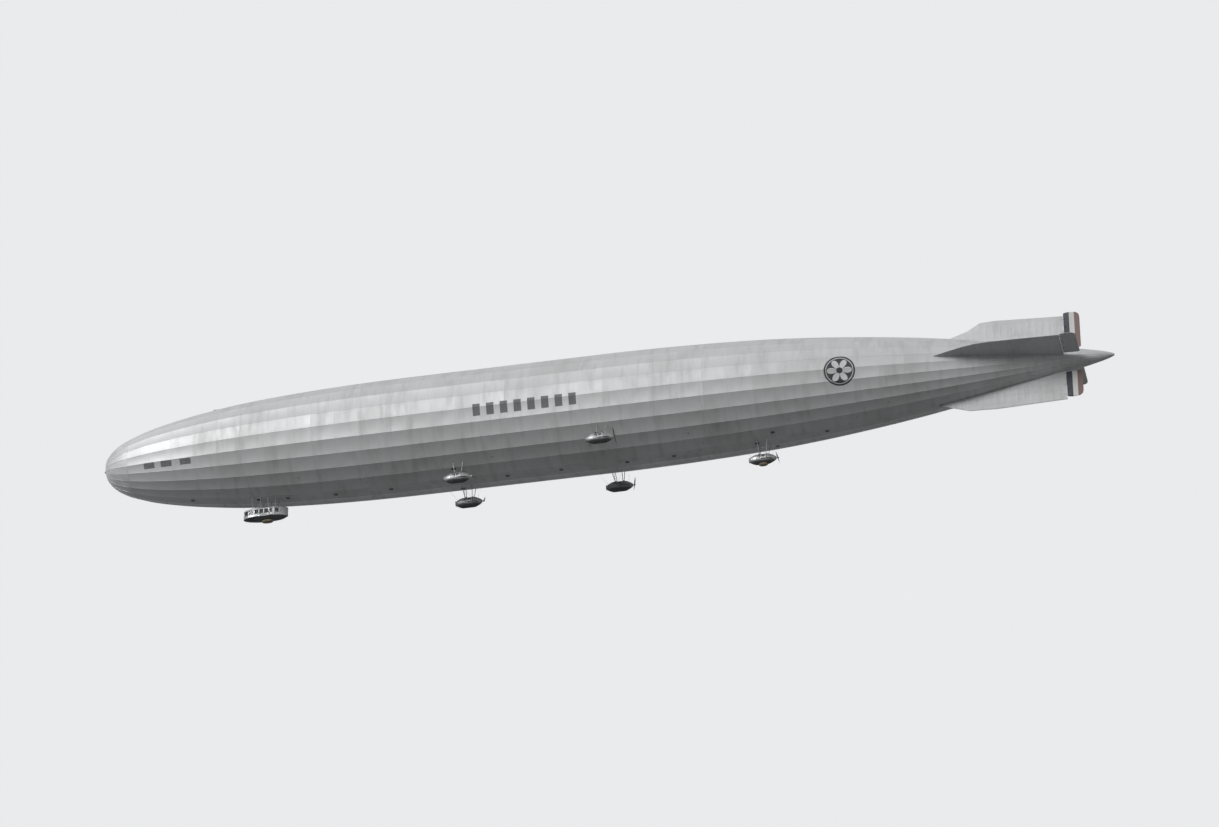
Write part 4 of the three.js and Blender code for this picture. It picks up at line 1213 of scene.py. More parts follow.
def make_keel_fittings(steel, dark):
    """Hatches, ballast outlets, vents and mooring points along the underside and the sides."""
    shape = Shape()
    for f in (24, 47, 57.5, 78, 87.5, 101, 112, 136, 147.5, 157.5, 177.5):
        for turn in (11, 13) if f == 57.5 else (12,):
            place = on_hull(f, turn)
            shape.box((-0.04, -0.03, -0.006), (0.04, 0.03, 0.0035), 0, place, ease=0.002)
            for x in (-0.022, 0, 0.022):
                shape.box((x - 0.007, -0.022, 0.002), (x + 0.007, 0.022, 0.0045), 1, place, ease=0.001)
    outlet = [(0.014, -0.005), (0.014, 0.003), (0.011, 0.006), (0.007, 0.006), (0.007, 0.001)]
    rings = [[(r * math.cos(a), r * math.sin(a), z) for a in around(16)] for r, z in outlet]
    for f in (34, 54, 74, 94, 114, 134, 154):
        for turn in (10, 14):
            shape.skin(rings, 0, on_hull(f, turn))
    ring = [(0.009 * math.cos(a), 0, 0.005 + 0.009 * math.sin(a)) for a in around(16)]
    for f in (183.5, 171.5, 140.5, 71.5, 40.5, 22.5):
        for turn in (11, 13):
            shape.loop(ring, 0.0018, 6, 0, on_hull(f, turn))
            shape.box((-0.012, -0.006, -0.005), (0.012, 0.006, 0.003), 0, on_hull(f, turn), ease=0.001)
    shape.piece("keel_hatches_and_vents", [steel, dark], "hull", "steel", sharp=30)


# Power cars


def car_size(x):
    """Half width and half height of a power car, so many real metres ahead of its middle."""
    return [hermite([(row[0], row[k]) for row in CAR_STATIONS], x) for k in (1, 2)]


def car_ring(x, margin, sides=32):
    """An outline of a power car grown by a margin."""
    half, rise = car_size(x)
    return [
        real(x, (half + margin) * math.cos(turn), (rise + margin) * math.sin(turn)) for turn in around(sides)
    ]


def car_side(x, z, side, margin):
    """A point of a power car's side wall at a level."""
    half, rise = car_size(x)
    across = (half + margin) * math.sqrt(max(1 - (z / (rise + margin)) ** 2, 0))
    return real(x, side * across, z)


def rounded_outline(x0, x1, z0, z1, corner, parts=4):
    """Points (x, z) round a rectangle with rounded corners, with more along its edges."""
    points = []
    low, high, bottom, top = x0 + corner, x1 - corner, z0 + corner, z1 - corner
    centres = [(high, top), (low, top), (low, bottom), (high, bottom)]
    for i, (x, z) in enumerate(centres):
        for turn in spaced(i * math.pi / 2, (i + 1) * math.pi / 2, parts):
            points.append((x + corner * math.cos(turn), z + corner * math.sin(turn)))
        a, (x, z) = points[-1], centres[(i + 1) % 4]
        b = (x + corner * math.cos(turn), z + corner * math.sin(turn))
        points += [(blend(a[0], b[0], share), blend(a[1], b[1], share)) for share in (0.25, 0.5, 0.75)]
    return points


def make_car(name, sheet, steel, pane):
    """A power car's shell of sheet with its openings, and its rims, bands, rails, louvres and panes."""
    place = car_place(name)
    stations = [-2.7, -2.68, -2.62, *spaced(-2.5, 2.5, 30), 2.6, 2.67, 2.7]
    margins = {-2.7: -0.02, -2.68: -0.005, 2.67: -0.004, 2.7: -0.02}
    shell = Shape(place).skin([car_ring(x, margins.get(x, 0)) for x in stations])
    shell = shell.piece(f"{name}_car_shell", [sheet], None, None)
    cut_away(shell, Shape(place).skin([car_ring(x, -CAR_WALL) for x in spaced(-2.65, 2.65, 24)]))
    openings, trim, panes = Shape(place), Shape(place), Shape(place)
    for front, back in CAR_WINDOWS:
        hole = rounded_outline(back, front, CAR_SILL, CAR_HEAD, 0.06)
        frame_line = rounded_outline(back - 0.02, front + 0.02, CAR_SILL - 0.02, CAR_HEAD + 0.02, 0.07)
        for side in SIDES:
            openings.skin([[real(x, y, z) for x, z in hole] for y in (side * 0.5, side * 1.2)])
            trim.loop([car_side(x, z, side, 0.004) for x, z in frame_line], 0.0022)
            middle = (front + back) / 2
            trim.tube([car_side(middle, z, side, -0.02) for z in spaced(CAR_SILL, CAR_HEAD, 5)], 0.0011, 6)

            def point(margin, u, v):
                x, z = blend(back - 0.03, front + 0.03, u), blend(CAR_SILL - 0.03, CAR_HEAD + 0.03, v)
                return car_side(x, z, side, margin)

            panes.slab(point, (-CAR_WALL - 0.004, -CAR_WALL - 0.016), (6, 5))
    openings.turned([real(*row) for row in ((-2.9, 0), (-2.9, 0.115), (-2.5, 0.115), (-2.5, 0))], 20)
    openings.box(real(2.5, -0.28, -0.3), real(2.8, 0.28, 0.3))
    cut_away(shell, openings)
    cut_away(shell, hatch_box(CAR_LADDER, 0.55 * M, 1.6 * M, car_place(name, True)))
    fit(shell, "hull", (f"{name}_car",))
    for x in (-2.3, -1.55, 1.25, 2.05, 2.58):
        trim.loop(car_ring(x, 0.004, 40), 0.0011, 4)
    for side in SIDES:
        trim.tube([car_side(x, 0.06, side, 0.07) for x in spaced(0.35, -0.6, 6)], 0.0012, 6)
        for x in (0.35, -0.12, -0.6):
            trim.tube([car_side(x, 0.06, side, margin) for margin in (-0.02, 0.07)], 0.0014, 6)
        for x in (0.23, 0.35, 0.47):
            louvre = [car_side(x, z, side, 0.01) for z in spaced(-0.74, -0.5, 4)]
            trim.tube(louvre, [0.0006, 0.0028, 0.0028, 0.0028, 0.0006], 6)
    trim.piece(f"{name}_car_trim", [steel], "hull", "steel")
    panes.piece(f"{name}_car_panes", [pane], "hull", "glass")


def make_pipes(name, iron):
    """Exhaust pipes along both sides of a power car, with flanges and clips."""
    shape = Shape(car_place(name))
    level, off = -0.3, 0.085
    route = [
        (0.3, level, -0.03), (0.28, level, 0.04), (0.2, level, 0.075), (0.05, level, off),
        *((x, level, off) for x in spaced(-0.2, -1.6, 8)), (-1.85, level, 0.11), (-2.05, -0.28, 0.17),
    ]
    for side in SIDES:
        path = [car_side(x, z, side, margin) for x, z, margin in route]
        shape.tube(path, [0.0055] * (len(path) - 1) + [0.0062], 12)
        for x in (-0.2, -0.9, -1.6):
            shape.tube([car_side(x, level, side, off), car_side(x + 0.02, level, side, off)], 0.0068, 12)
            shape.tube([car_side(x, level, side, margin) for margin in (-0.02, 0.05)], 0.0016, 6)
    shape.piece(f"{name}_exhaust_pipes", [iron], "hull", "engine")


def make_radiator(name, core, steel):
    """A radiator on the car's nose: a frame, its honeycomb, and slats ahead of it."""
    shape = Shape(car_place(name))
    back, front = 2.7 * M + HALF_SEAT, 2.85 * M
    half, rise = 0.38 * M, 0.4 * M
    rail = 0.002
    depth, middle = (front - back) / 2, (front + back) / 2
    shape.box((back + 0.002, 0.003 - half, 0.003 - rise), (front - 0.007, half - 0.003, rise - 0.003))
    for side in SIDES:
        shape.block((middle, side * (half - rail), 0), (depth, rail, rise), 1, ease=0.001)
        shape.block((middle, 0, side * (rise - rail)), (depth, half - 2 * rail, rail), 1, ease=0.001)
    for z in spaced(0.009 - rise, rise - 0.009, 9):
        lean = shift(front - 0.003, 0, z) @ spin(math.radians(38), "Y")
        shape.block((0, 0, 0), (0.0028, half - 0.004, 0.0004), 1, lean)
    shape.tube([(front - 0.001, 0, 0.004 - rise), (front - 0.001, 0, rise - 0.004)], 0.0009, 6, 1)
    cap = [(-0.002, 0), (-0.002, 0.004), (0.003, 0.004), (0.0045, 0.0025), (0.0045, 0)]
    shape.turned(cap, 12, 1, shift(back + 0.007, 0, rise) @ spin(-math.pi / 2, "Y"))
    shape.piece(f"{name}_radiator_frame", [core, steel], "hull", "core", (f"{name}_radiator",))


def make_engine(name, iron, steel):
    """An engine of six cylinders in a row on two bearers, with its shaft bearing."""
    shape = Shape(car_place(name))
    shape.box(real(-0.95, -0.3, -0.2), real(0.75, 0.3, 0.08), ease=0.004)
    shape.box(real(-0.9, -0.2, -0.34), real(0.7, 0.2, -0.18), ease=0.004)
    cylinder = [(0.07, 0.0), (0.07, 0.1)]
    for z in spaced(0.1, 0.34, 6):
        cylinder += [(z, 0.085), (z + 0.015, 0.105), (z + 0.02, 0.105), (z + 0.03, 0.085)]
    cylinder += [(0.42, 0.09), (0.44, 0.07), (0.44, 0)]
    cylinder = [real(*row) for row in cylinder]
    for x in spaced(-0.72, 0.58, 5):
        shape.turned(cylinder, 14, 0, shift(x * M) @ spin(-math.pi / 2, "Y"))
        for side in SIDES:
            elbow = ((0.08, 0.36), (0.16, 0.38), (0.24, 0.34))
            shape.tube([real(x, side * y, z) for y, z in elbow], 0.0026, 8, 1)
            shape.tube([real(x + 0.04, side * 0.11, z) for z in (0.08, 0.42)], 0.0008, 6, 1)
    for side in SIDES:
        shape.tube([real(x, side * 0.25, 0.33) for x in (-0.82, 0.66)], 0.0042, 10, 1)
        shape.block(real(-0.1, side * 0.23, -0.585), real(0.75, 0.05, 0.405), 1, ease=0.002)
    shape.box(real(-0.9, -0.06, 0.43), real(0.7, 0.06, 0.5), ease=0.002)
    bearing = [
        (-1.35, 0.066), (-1.35, 0.11), (-1.33, 0.13), (-1.28, 0.13), (-1.27, 0.1), (-1.1, 0.1),
        (-1.08, 0.13), (-1.02, 0.13), (-0.98, 0.2), (-0.93, 0.2), (-0.93, 0), (-1.04, 0), (-1.04, 0.066),
    ]
    shape.turned([real(*row) for row in bearing], 24)
    shape.piece(f"{name}_engine_block", [iron, steel], "hull", "engine", (f"{name}_engine",))


# Blade sections from the hub outwards: radius, chord, thickness in real metres and pitch in degrees
BLADE = [
    (0.1, 0.2, 0.16, 62), (0.45, 0.26, 0.13, 48), (0.95, 0.36, 0.1, 34), (1.5, 0.38, 0.075, 24),
    (2.05, 0.3, 0.05, 18), (2.33, 0.17, 0.03, 16), (2.4, 0.05, 0.015, 16),
]


def blade_ring(radius, sides):
    """A section of a blade, round at its leading edge and thin at its trailing edge."""
    chord, thick, pitch = (hermite([(row[0], row[k]) for row in BLADE], radius) for k in (1, 2, 3))
    tilt = math.radians(pitch)
    ring = []
    for turn in around(sides):
        along = chord / 2 * math.cos(turn)
        full = 0.72 + 0.28 * math.cos(turn) if radius > 0.3 else 1
        over = thick / 2 * math.sin(turn) * (full if math.sin(turn) > 0 else full * 0.8)
        x = along * math.sin(tilt) + over * math.cos(tilt)
        y = along * math.cos(tilt) - over * math.sin(tilt)
        ring.append(real(x, y, radius))
    return ring


def make_propeller(name, wood, edge, steel):
    """A laminated airscrew of two blades with brass along its edges, its hub plates and its shaft."""
    degrees = CARS[name][3]
    shape = Shape(car_place(name) @ spin(math.radians(degrees), "X") @ shift(PROP_FORWARD * M))
    sides = 24
    radii = [*spaced(0.1, 2.2, 30), *spaced(2.25, 2.38, 5), 2.395]
    for half in (0, math.pi):
        start = len(shape.faces)
        shape.skin([blade_ring(radius, sides) for radius in radii], 0, spin(half, "X"))
        for i, radius in enumerate(radii[:-1]):
            for k in range(sides):
                leading = k < 4 or k >= sides - 4
                if (radius > 1.25 and leading) or radius > 2.18:
                    shape.finishes[start + i * sides + k] = 1
    hub = [
        (-0.14, 0), (-0.14, 0.1649), (-0.13, 0.16975), (-0.115, 0.16975), (-0.112, 0.1552),
        (0.092, 0.1552), (0.095, 0.16975), (0.11, 0.16975), (0.12, 0.1649), (0.12, 0),
    ]
    cap = [(-0.22, 0), (-0.22, 0.05), (-0.2, 0.085), (-0.14, 0.098), (-0.13, 0.098), (-0.13, 0)]
    shaft = [(0.1, 0), (0.1, 0.059), (1.89, 0.059), (1.895, 0)]
    for rows, count in ((hub, 28), (cap, 20), (shaft, 20)):
        shape.turned([real(*row) for row in rows], count, 2)
    bolt = [(-0.0022, 0), (-0.0022, 0.0014), (0, 0.0016), (0.001, 0.0016), (0.001, 0)]
    for turn in around(8):
        shape.turned(bolt, 6, 2, shift(-0.14 * M, 0.013 * math.cos(turn), 0.013 * math.sin(turn)))
    node = f"{name}_propeller"
    shape.piece(f"{name}_airscrew", [wood, edge, steel], node, "propeller", (node,))


def to_hull(place, foot, head):
    """Where a line from foot towards head, both in a car's place, ends just inside the hull's cover."""
    foot, head = Vector(foot), Vector(head)
    low, high = 0.0, 1.0
    for _ in range(24):
        share = (low + high) / 2
        point = place @ foot.lerp(head, share)
        surface = hull_radius(point.x / M + ORIGIN_FRAME) * FLAT_SHARE - 0.045
        inside = math.hypot(point.y, point.z) < surface * M
        low, high = (low, share) if inside else (share, high)
    return foot.lerp(head, high)


def add_ladder(shape, x, low, high):
    """Two round rails and their rungs."""
    half = 0.02
    for y in (-half, half):
        shape.tube([(x, y, low), (x, y, high)], 0.0024, 10)
    for z in spaced(low + 0.02, high - 0.012, round((high - low) / 0.04)):
        shape.tube([(x, -half, z), (x, half, z)], 0.0014)


def add_strut(shape, foot, head):
    """A streamlined strut, slimmer at its two ends, with a collar at each."""
    size = 0.006
    stations = [
        (0, 0.45), (0.03, 0.5), (0.12, 0.85), (0.3, 1), (0.7, 1), (0.88, 0.85), (0.97, 0.5), (1, 0.45),
    ]
    path = [foot.lerp(head, share) for share, _ in stations]
    shape.tube(path, [size * factor for _, factor in stations], 14, flat=0.44)
    for ends in ((0.0, 0.045), (0.955, 1.0)):
        shape.tube([foot.lerp(head, share) for share in ends], size * 0.56, 12, flat=0.8)


def make_struts(name, steel):
    """Hoops over a power car, the struts and wires that hang it, and its ladder."""
    radial = car_place(name, True)
    shape, wires = Shape(radial), Shape(radial)
    surface = car_surface(name)
    section = (
        (-0.062, 0.004), (-0.066, 0.07), (-0.03, 0.108), (0.03, 0.108), (0.066, 0.07), (0.062, 0.004),
    )
    for forward in HOOPS:
        half, rise = car_size(forward)
        low = math.asin(0.24 / (rise + 0.12))
        rings = []
        for turn in spaced(-low, math.pi + low, 40):
            y, z = math.cos(turn), math.sin(turn)
            rings.append([real(forward + x, (half + off) * y, (rise + off) * z) for x, off in section])
        shape.skin(rings, 0, radial.inverted() @ car_place(name))
    feet = {}
    radius = settings("airship_cars").wire
    for side in SIDES:
        for i, forward in enumerate(HOOPS):
            foot = Vector(real(forward, side * SHOULDER[0], SHOULDER[1]))
            lean = -0.35 if i else 0.35
            head = to_hull(radial, foot, (*real(forward + lean, side * 1.9), surface + 0.05))
            feet[side, i] = foot, head
            add_strut(shape, foot, head)
            shape.ball(0.0072, 0, shift(*foot), 14)
        shape.tube([feet[side, 0][0], feet[side, 1][0]], 0.004, 10)
        shape.tube([real(x, side * 0.2, 1.14) for x in (HOOPS[0], CAR_LADDER)], 0.003)
    for side in SIDES:
        for i in (0, 1):
            foot, head = feet[side, i][0], feet[side, 1 - i][1]
            wires.tube([foot, head], radius, 6)
            for ends in ((0.04, 0.1), (0.9, 0.96)):
                wires.tube([foot.lerp(head, share) for share in ends], radius * 2.6)
            wires.tube([foot, feet[-side, i][1]], radius, 6)
        for x, z, ahead, aside in ((2.3, 0.6, 4.4, 1.2), (-1.9, 0.7, -2.3, 1.7)):
            foot = real(x, 0, z)
            head = to_hull(radial, foot, (*real(ahead, side * aside), surface + 0.05))
            wires.tube([foot, head], radius, 6)
    add_ladder(shape, CAR_LADDER * M, 0.09, surface + 0.068)
    shape.piece(f"{name}_suspension", [steel], "hull", "steel", (f"{name}_struts",))
    wires.piece(f"{name}_bracing_wires", [steel], "hull", "steel")


# Control car


# Windows of the control car: stretches of both sides, ahead of its middle, and the two panes of the nose
SIDE_WINDOWS = [(4.2, 3.55), (3.3, 2.35), (2.05, 1.25), (1.05, 0.25), (0.05, -0.75), (-2.2, -2.9)]
NOSE_WINDOW = (0.1, 0.4)
# Front, back, low and high edges of the door in the port side
DOOR = (-0.98, -1.68, -15.2, -13.62)
# Half width of the control car where it is broadest
WALL_HALF = 1.2
# Levels of the belt and the hand rails, and how far the rails stand off the walls
BELT, HAND_RAIL = -14.72, -14.98
RAIL_OFF = 0.075
# Distance of the roof's rails from its middle
ROOF_RAIL = 0.72


def control_wall(x, z, side, margin):
    """A point just off the control car's side wall."""
    return real(x, side * (along_lines(sorted(CONTROL_PLAN), x) + margin), z)


def nose_wall(y, z, side, margin):
    """A point just off one side of the control car's blunt nose."""
    (tip, inner), (back, outer) = CONTROL_PLAN[:2]
    return real(blend(tip, back, (y - inner) / (outer - inner)) + margin, side * y, z)


def around_plan(level, margin):
    """Points round the control car's plan at a level, grown by a margin."""
    first, last = CONTROL_PLAN[0][0], CONTROL_PLAN[-1][0]
    points = []
    for x, half in CONTROL_PLAN:
        points.append(real(x + margin * (2 * (x - last) / (first - last) - 1), half + margin, level))
    return points + [(x, -y, z) for x, y, z in reversed(points)]


def add_window_trim(trim, front, back, side):
    """The rim, mullion, sill and rain hood of one window of the control car."""
    outline = rounded_outline(back, front, WINDOW_LOW, WINDOW_HIGH, 0.03, 2)
    trim.loop([control_wall(x, z, side, 0.006) for x, z in outline], 0.0021)
    if front - back > 0.66:
        middle = (front + back) / 2
        trim.tube([control_wall(middle, z, side, -0.02) for z in (WINDOW_LOW, WINDOW_HIGH)], 0.0013, 6)
    for level, reach, radius in ((WINDOW_LOW - 0.03, 0.03, 0.0016), (WINDOW_HIGH + 0.05, 0.04, 0.0014)):
        ledge = spaced(back - reach, front + reach, 4)
        trim.tube([control_wall(x, level, side, 0.03) for x in ledge], radius, 6)


def add_door_surround(trim):
    """The frame about the doorway, its step, and the belt that runs round the rest of the car."""
    low, high, back, front = DOOR[2] - 0.06, DOOR[3] + 0.06, DOOR[1] - 0.06, DOOR[0] + 0.075
    outline = [(back, low), (back, high), (front, high), (front, low)]
    trim.loop([control_wall(x, z, 1, 0.004) for x, z in outline], 0.0012)
    margin = 0.003
    ring = around_plan(BELT, margin)
    count = len(CONTROL_PLAN)
    behind = [point for point in ring[:count] if point[0] < back * M]
    ahead = [point for point in ring[:count] if point[0] > front * M]
    start, end = (control_wall(x, BELT, 1, margin) for x in (back, front))
    trim.tube([start, *behind, *ring[count:], *ahead, end], 0.0011, 6, broad=(0, 0, 1))
    for x in (-1.0, -1.66):
        trim.tube([control_wall(x, -15.32, 1, -0.05), control_wall(x, -15.34, 1, 0.16)], 0.0014, 6)
    trim.box(real(-1.7, WALL_HALF, -15.355), real(-0.96, 1.37, -15.33), ease=0.0006)


def make_control_car(sheet, steel, pane, dark):
    """The control car's walls with eased edges, its rims, mullions, mouldings, rails and fittings."""
    fit(eased_copy("control_car", "control_car_walls", 0.0006, sheet), "hull", ("control_car",))
    roof = eased_copy("control_car_roof", "control_car_roofing", 0.0016, sheet)
    fit(roof, "hull", ("control_car_roof",))
    dress("control_car_glass", pane)
    trim = Shape(control_place())
    outline = rounded_outline(*NOSE_WINDOW, WINDOW_LOW, WINDOW_HIGH, 0.03, 2)
    for side in SIDES:
        for front, back in SIDE_WINDOWS:
            add_window_trim(trim, front, back, side)
        trim.loop([nose_wall(y, z, side, 0.006) for y, z in outline], 0.0016)
        trim.tube([real(x, side * 0.42, BELLY - 0.005) for x in spaced(-2.6, 1.8, 8)], 0.002, 6)
        for start, end in ((-0.5, 3.2), (-3.0, -1.9)) if side > 0 else ((-3.0, 3.2),):
            rail = [control_wall(x, HAND_RAIL, side, RAIL_OFF) for x in spaced(start, end, 14)]
            trim.tube(rail, 0.0012, 6)
            for x in spaced(start, end, 4):
                trim.tube([control_wall(x, HAND_RAIL, side, off) for off in (-0.02, RAIL_OFF)], 0.0013, 6)
        for x in (-3.15, -3.3, -3.45):
            vent = [control_wall(x, z, side, 0.01) for z in spaced(-14.5, -14.1, 4)]
            trim.tube(vent, [0.0005, 0.0022, 0.0022, 0.0022, 0.0005], 6, 1)
    add_door_surround(trim)
    for level, margin, size in ((CHINE + 0.02, 0.004, 0.0026), (EAVES - 0.02, 0.002, 0.0022)):
        trim.loop(around_plan(level, margin), size)
    keel = [real(x, 0, BELLY - 0.015) for x in spaced(-3.6, 2.6, 12)]
    trim.tube(keel, [0.0012, *[0.0035] * 11, 0.0012])
    lamp = shift(*real(3.0, 0, BELLY - 0.06)) @ spin(math.radians(28), "Y")
    trim.turned([(-0.008, 0), (-0.008, 0.004), (0.002, 0.0085), (0.005, 0.009), (0.0055, 0)], 20, 0, lamp)
    trim.turned([(0.0056, 0), (0.0056, 0.0078), (0.0066, 0.006), (0.007, 0)], 20, 1, lamp)
    trim.tube([real(2.96, 0, BELLY + 0.03), real(3.0, 0, BELLY - 0.05)], 0.002)
    trim.tube([real(-3.9, 0, BELLY + 0.4), real(-3.95, 0, BELLY + 0.02)], 0.0018)
    trim.piece("control_car_trim", [steel, dark], "hull", "steel")


def make_door(sheet, steel, brass_metal, pane):
    """The control car's door with its rim, handle, kick plate and pane."""
    door = eased_copy("control_car_door", "control_car_door_leaf", 0.0005, sheet)
    fit(door, "control_car_door", ("control_car_door",))
    front, back, low, high = DOOR[0] - 0.14, DOOR[1] + 0.14, WINDOW_LOW, WINDOW_HIGH
    fittings = Shape(control_place())
    rim_line = rounded_outline(back, front, low, high, 0.02, 2)
    fittings.loop([real(x, WALL_HALF + 0.004, z) for x, z in rim_line], 0.0014)
    handle = ((-1.56, 0), (-1.56, 0.025), (-1.5, 0.03), (-1.46, 0.03))
    fittings.tube([real(x, WALL_HALF + off, -14.8) for x, off in handle], 0.001, 8, 1)
    fittings.box(real(-1.6, WALL_HALF, -14.84), real(-1.53, 1.208, -14.76), 1, ease=0.0003)
    fittings.box(real(-1.62, WALL_HALF, -15.16), real(-1.1, 1.205, -15.0), ease=0.0002)
    for z in (BELT, -13.7, -15.18):
        fittings.tube([real(x, WALL_HALF, z) for x in (-1.66, -1.08)], 0.0006, 4)
    fittings.piece("control_car_door_fittings", [steel, brass_metal], "control_car_door", "steel")
    glazing = Shape(control_place())
    glazing.box(real(back - 0.03, 1.165, low - 0.03), real(front + 0.03, 1.175, high + 0.03))
    glazing.piece("control_car_door_pane", [pane], "control_car_door", "glass")


def make_control_frame(steel):
    """Rails and cross bars on the control car's roof, the struts and wires to the hull, and the ladder."""
    place = control_place()
    shape, wires, rungs = Shape(place), Shape(place), Shape(place)
    level, half = (ROOF_TOP + 0.05) * M, ROOF_RAIL * M
    surface = -hull_radius(CONTROL_FRAME) * M
    radius = settings("airship_cars").wire
    bars = (2.6, 0.9, -0.7, -2.2)
    ends = {}
    for side in SIDES:
        shape.block((0.02, side * half, level), (0.25, 0.004, 0.005), ease=0.001)
        for x in bars:
            foot = Vector((x * M, side * half, level))
            head = to_hull(place, foot, (*real(x, side * 1.65), surface + 0.04))
            ends[x, side] = foot, head
            add_strut(shape, foot, head)
            shape.ball(0.0065, 0, shift(*foot))
        for x, y, ahead in ((4.1, 0.3, 5.6), (-4.1, 0.25, -5.6)):
            foot = real(x, side * y, EAVES + 0.02)
            wires.tube([foot, to_hull(place, foot, (*real(ahead, side * 1.1), surface + 0.06))], radius, 6)
    for x in bars:
        shape.block((x * M, 0, level), (0.004, half, 0.0045), ease=0.001)
    for side in SIDES:
        for a, b in zip(bars, bars[1:]):
            for start, end in ((a, b), (b, a)):
                wires.tube([ends[start, side][0], ends[end, side][1]], radius, 6)
        for x in bars:
            wires.tube([ends[x, side][0], ends[x, -side][1]], radius, 6)
    shape.piece("control_car_suspension", [steel], "hull", "steel", ("control_car_struts",))
    wires.piece("control_car_bracing_wires", [steel], "hull", "steel")
    add_ladder(rungs, CONTROL_LADDER * M, (CHINE + 0.03) * M, surface + 0.058)
    rungs.piece("control_car_ladder_rungs", [steel], "hull", "steel", ("control_car_ladder",))


def make_helm(name, wood, metal, place, height, radius):
    """A helm: a turned pedestal with its binnacle and a spoked wheel with hand grips."""
    shape = Shape(place @ shift(0, 0, (CHINE + 0.02) * M + HALF_SEAT))
    post = [
        (0, 0), (0, 0.009), (0.004, 0.009), (0.007, 0.006), (height * 0.45, 0.0042), (height * 0.85, 0.005),
        (height * 0.9, 0.0065), (height + 0.006, 0.0068), (height + 0.0085, 0.004), (height + 0.009, 0),
    ]
    shape.turned(post, 16, 1, spin(-math.pi / 2, "Y"))
    wheel = shift(-0.011, 0, height)
    felloe = [(0, radius * math.cos(a), radius * math.sin(a)) for a in around(32)]
    shape.loop(felloe, 0.0024, 8, 0, wheel)
    spoke = [(0, 0, 0.003), *((0, 0, radius * share) for share in (1, 1.1, 1.2, 1.25))]
    for turn in around(8):
        shape.tube(spoke, [0.0011, 0.001, 0.0015, 0.0017, 0.0009], 8, 0, wheel @ spin(turn, "X"))
    hub = [(-0.004, 0), (-0.004, 0.004), (-0.002, 0.0052), (0.0105, 0.0035), (0.0105, 0)]
    shape.turned(hub, 16, 1, wheel)
    shape.piece(f"{name}_helm", [wood, metal], "hull", "instrument", (name,))


# Bumping bags


# Voxel size, steps and pressure of the bags' simulation
VOXEL, BAG_STEPS, BAG_PRESSURE = 0.0032, 20, 40
# How much too large the canvas is cut, and how far its points may travel in half widths of the bag
BAG_STRETCH, BAG_TRAVEL = 0.1, 0.055
# Half width of a held seam, and the size of the seams as a share of the bag's
SEAM_HALF, SEAM_SHARE = 0.0022, 0.96


def blow_out(bag, held, most):
    """Fills a bag with air by a cloth simulation: its seams are held, and no point moves past most."""
    change(bag, "REMESH", 60, mode="VOXEL", voxel_size=VOXEL)
    seams = bag.vertex_groups.new(name="seams")
    seams.add([vertex.index for vertex in bag.data.vertices if held(vertex.co)], 1.0, "REPLACE")
    canvas = bag.modifiers.new("canvas", "CLOTH").settings
    canvas.vertex_group_mass = "seams"
    canvas.use_pressure = True
    canvas.uniform_pressure_force = BAG_PRESSURE
    canvas.shrink_min = -BAG_STRETCH
    canvas.effector_weights.gravity = 0
    for number in range(1, BAG_STEPS + 1):
        bpy.context.scene.frame_set(number)
    blown = bag.evaluated_get(bpy.context.evaluated_depsgraph_get())
    moved = [vertex.co.copy() for vertex in blown.data.vertices]
    bag.modifiers.clear()
    bpy.context.scene.frame_set(1)
    for vertex, goal in zip(bag.data.vertices, moved):
        step = goal - vertex.co
        vertex.co += step * min(1, most / max(step.length, 1e-9))
    change(bag, "SUBSURF", 60, levels=1)
    bag.vertex_groups.clear()


def make_bag(node, half_length, half_width, middle, canvas, cord, top=None):
    """An air bag of sewn gores, flat under its car, with cords along its seams and three straps."""
    gores = settings("airship_cars").gores
    low, high, half_length, half_width = real(KEEL_LEVEL, BAG_TOP, half_length, half_width)
    rise, centre = (high - low) / 2, (high + low) / 2
    place = shift(middle, 0, centre)
    roof = rise if top is None else top - centre

    def point(share, turn, size):
        """A point of the bag: its share of the half length from the middle, and its turn around."""
        across = (1 - abs(share) ** 2.2) ** 0.5 * size
        z = min(across * rise * math.sin(turn), roof)
        return share * half_length, across * half_width * math.cos(turn), z

    def held(spot):
        x, y, z = place.inverted() @ spot
        turn = math.atan2(z / rise, y / half_width) * gores / (2 * math.pi)
        off = abs(turn - round(turn)) * math.hypot(y, z) * 2 * math.pi / gores
        return off < SEAM_HALF or z > roof - 0.002 or abs(x) > 0.93 * half_length

    shares = [math.sin(turn) for turn in spaced(-math.pi / 2, math.pi / 2, 28)[1:-1]]
    turns = around(gores * 2)
    sizes = [SEAM_SHARE * (math.cos(math.pi / gores) if k % 2 else 1) for k in range(len(turns))]
    rings = [[point(share, turn, size) for turn, size in zip(turns, sizes)] for share in shares]
    bag = Shape(place).skin(rings).piece(f"{node}_canvas", [canvas], None, None)
    blow_out(bag, held, BAG_TRAVEL * half_width + 0.001)
    fit(bag, "hull", (node,))
    ropes = Shape(place)
    for turn in turns[::2]:
        seam = [point(share, turn, SEAM_SHARE + 0.01) for share in spaced(-0.96, 0.96, 30)]
        seam = [spot for spot in seam if spot[2] < roof - 0.002]
        if len(seam) > 3:
            ropes.tube(seam, 0.0009, 6)
    for share in (-0.55, 0.0, 0.55):
        strap = [point(share, turn, 0.99) for turn in around(48)]
        ropes.loop([(x, y, min(z, roof - 0.0012)) for x, y, z in strap], 0.0013)
    ropes.piece(f"{node}_lashing", [cord], "hull", "bumper", sharp=60)


# Stage


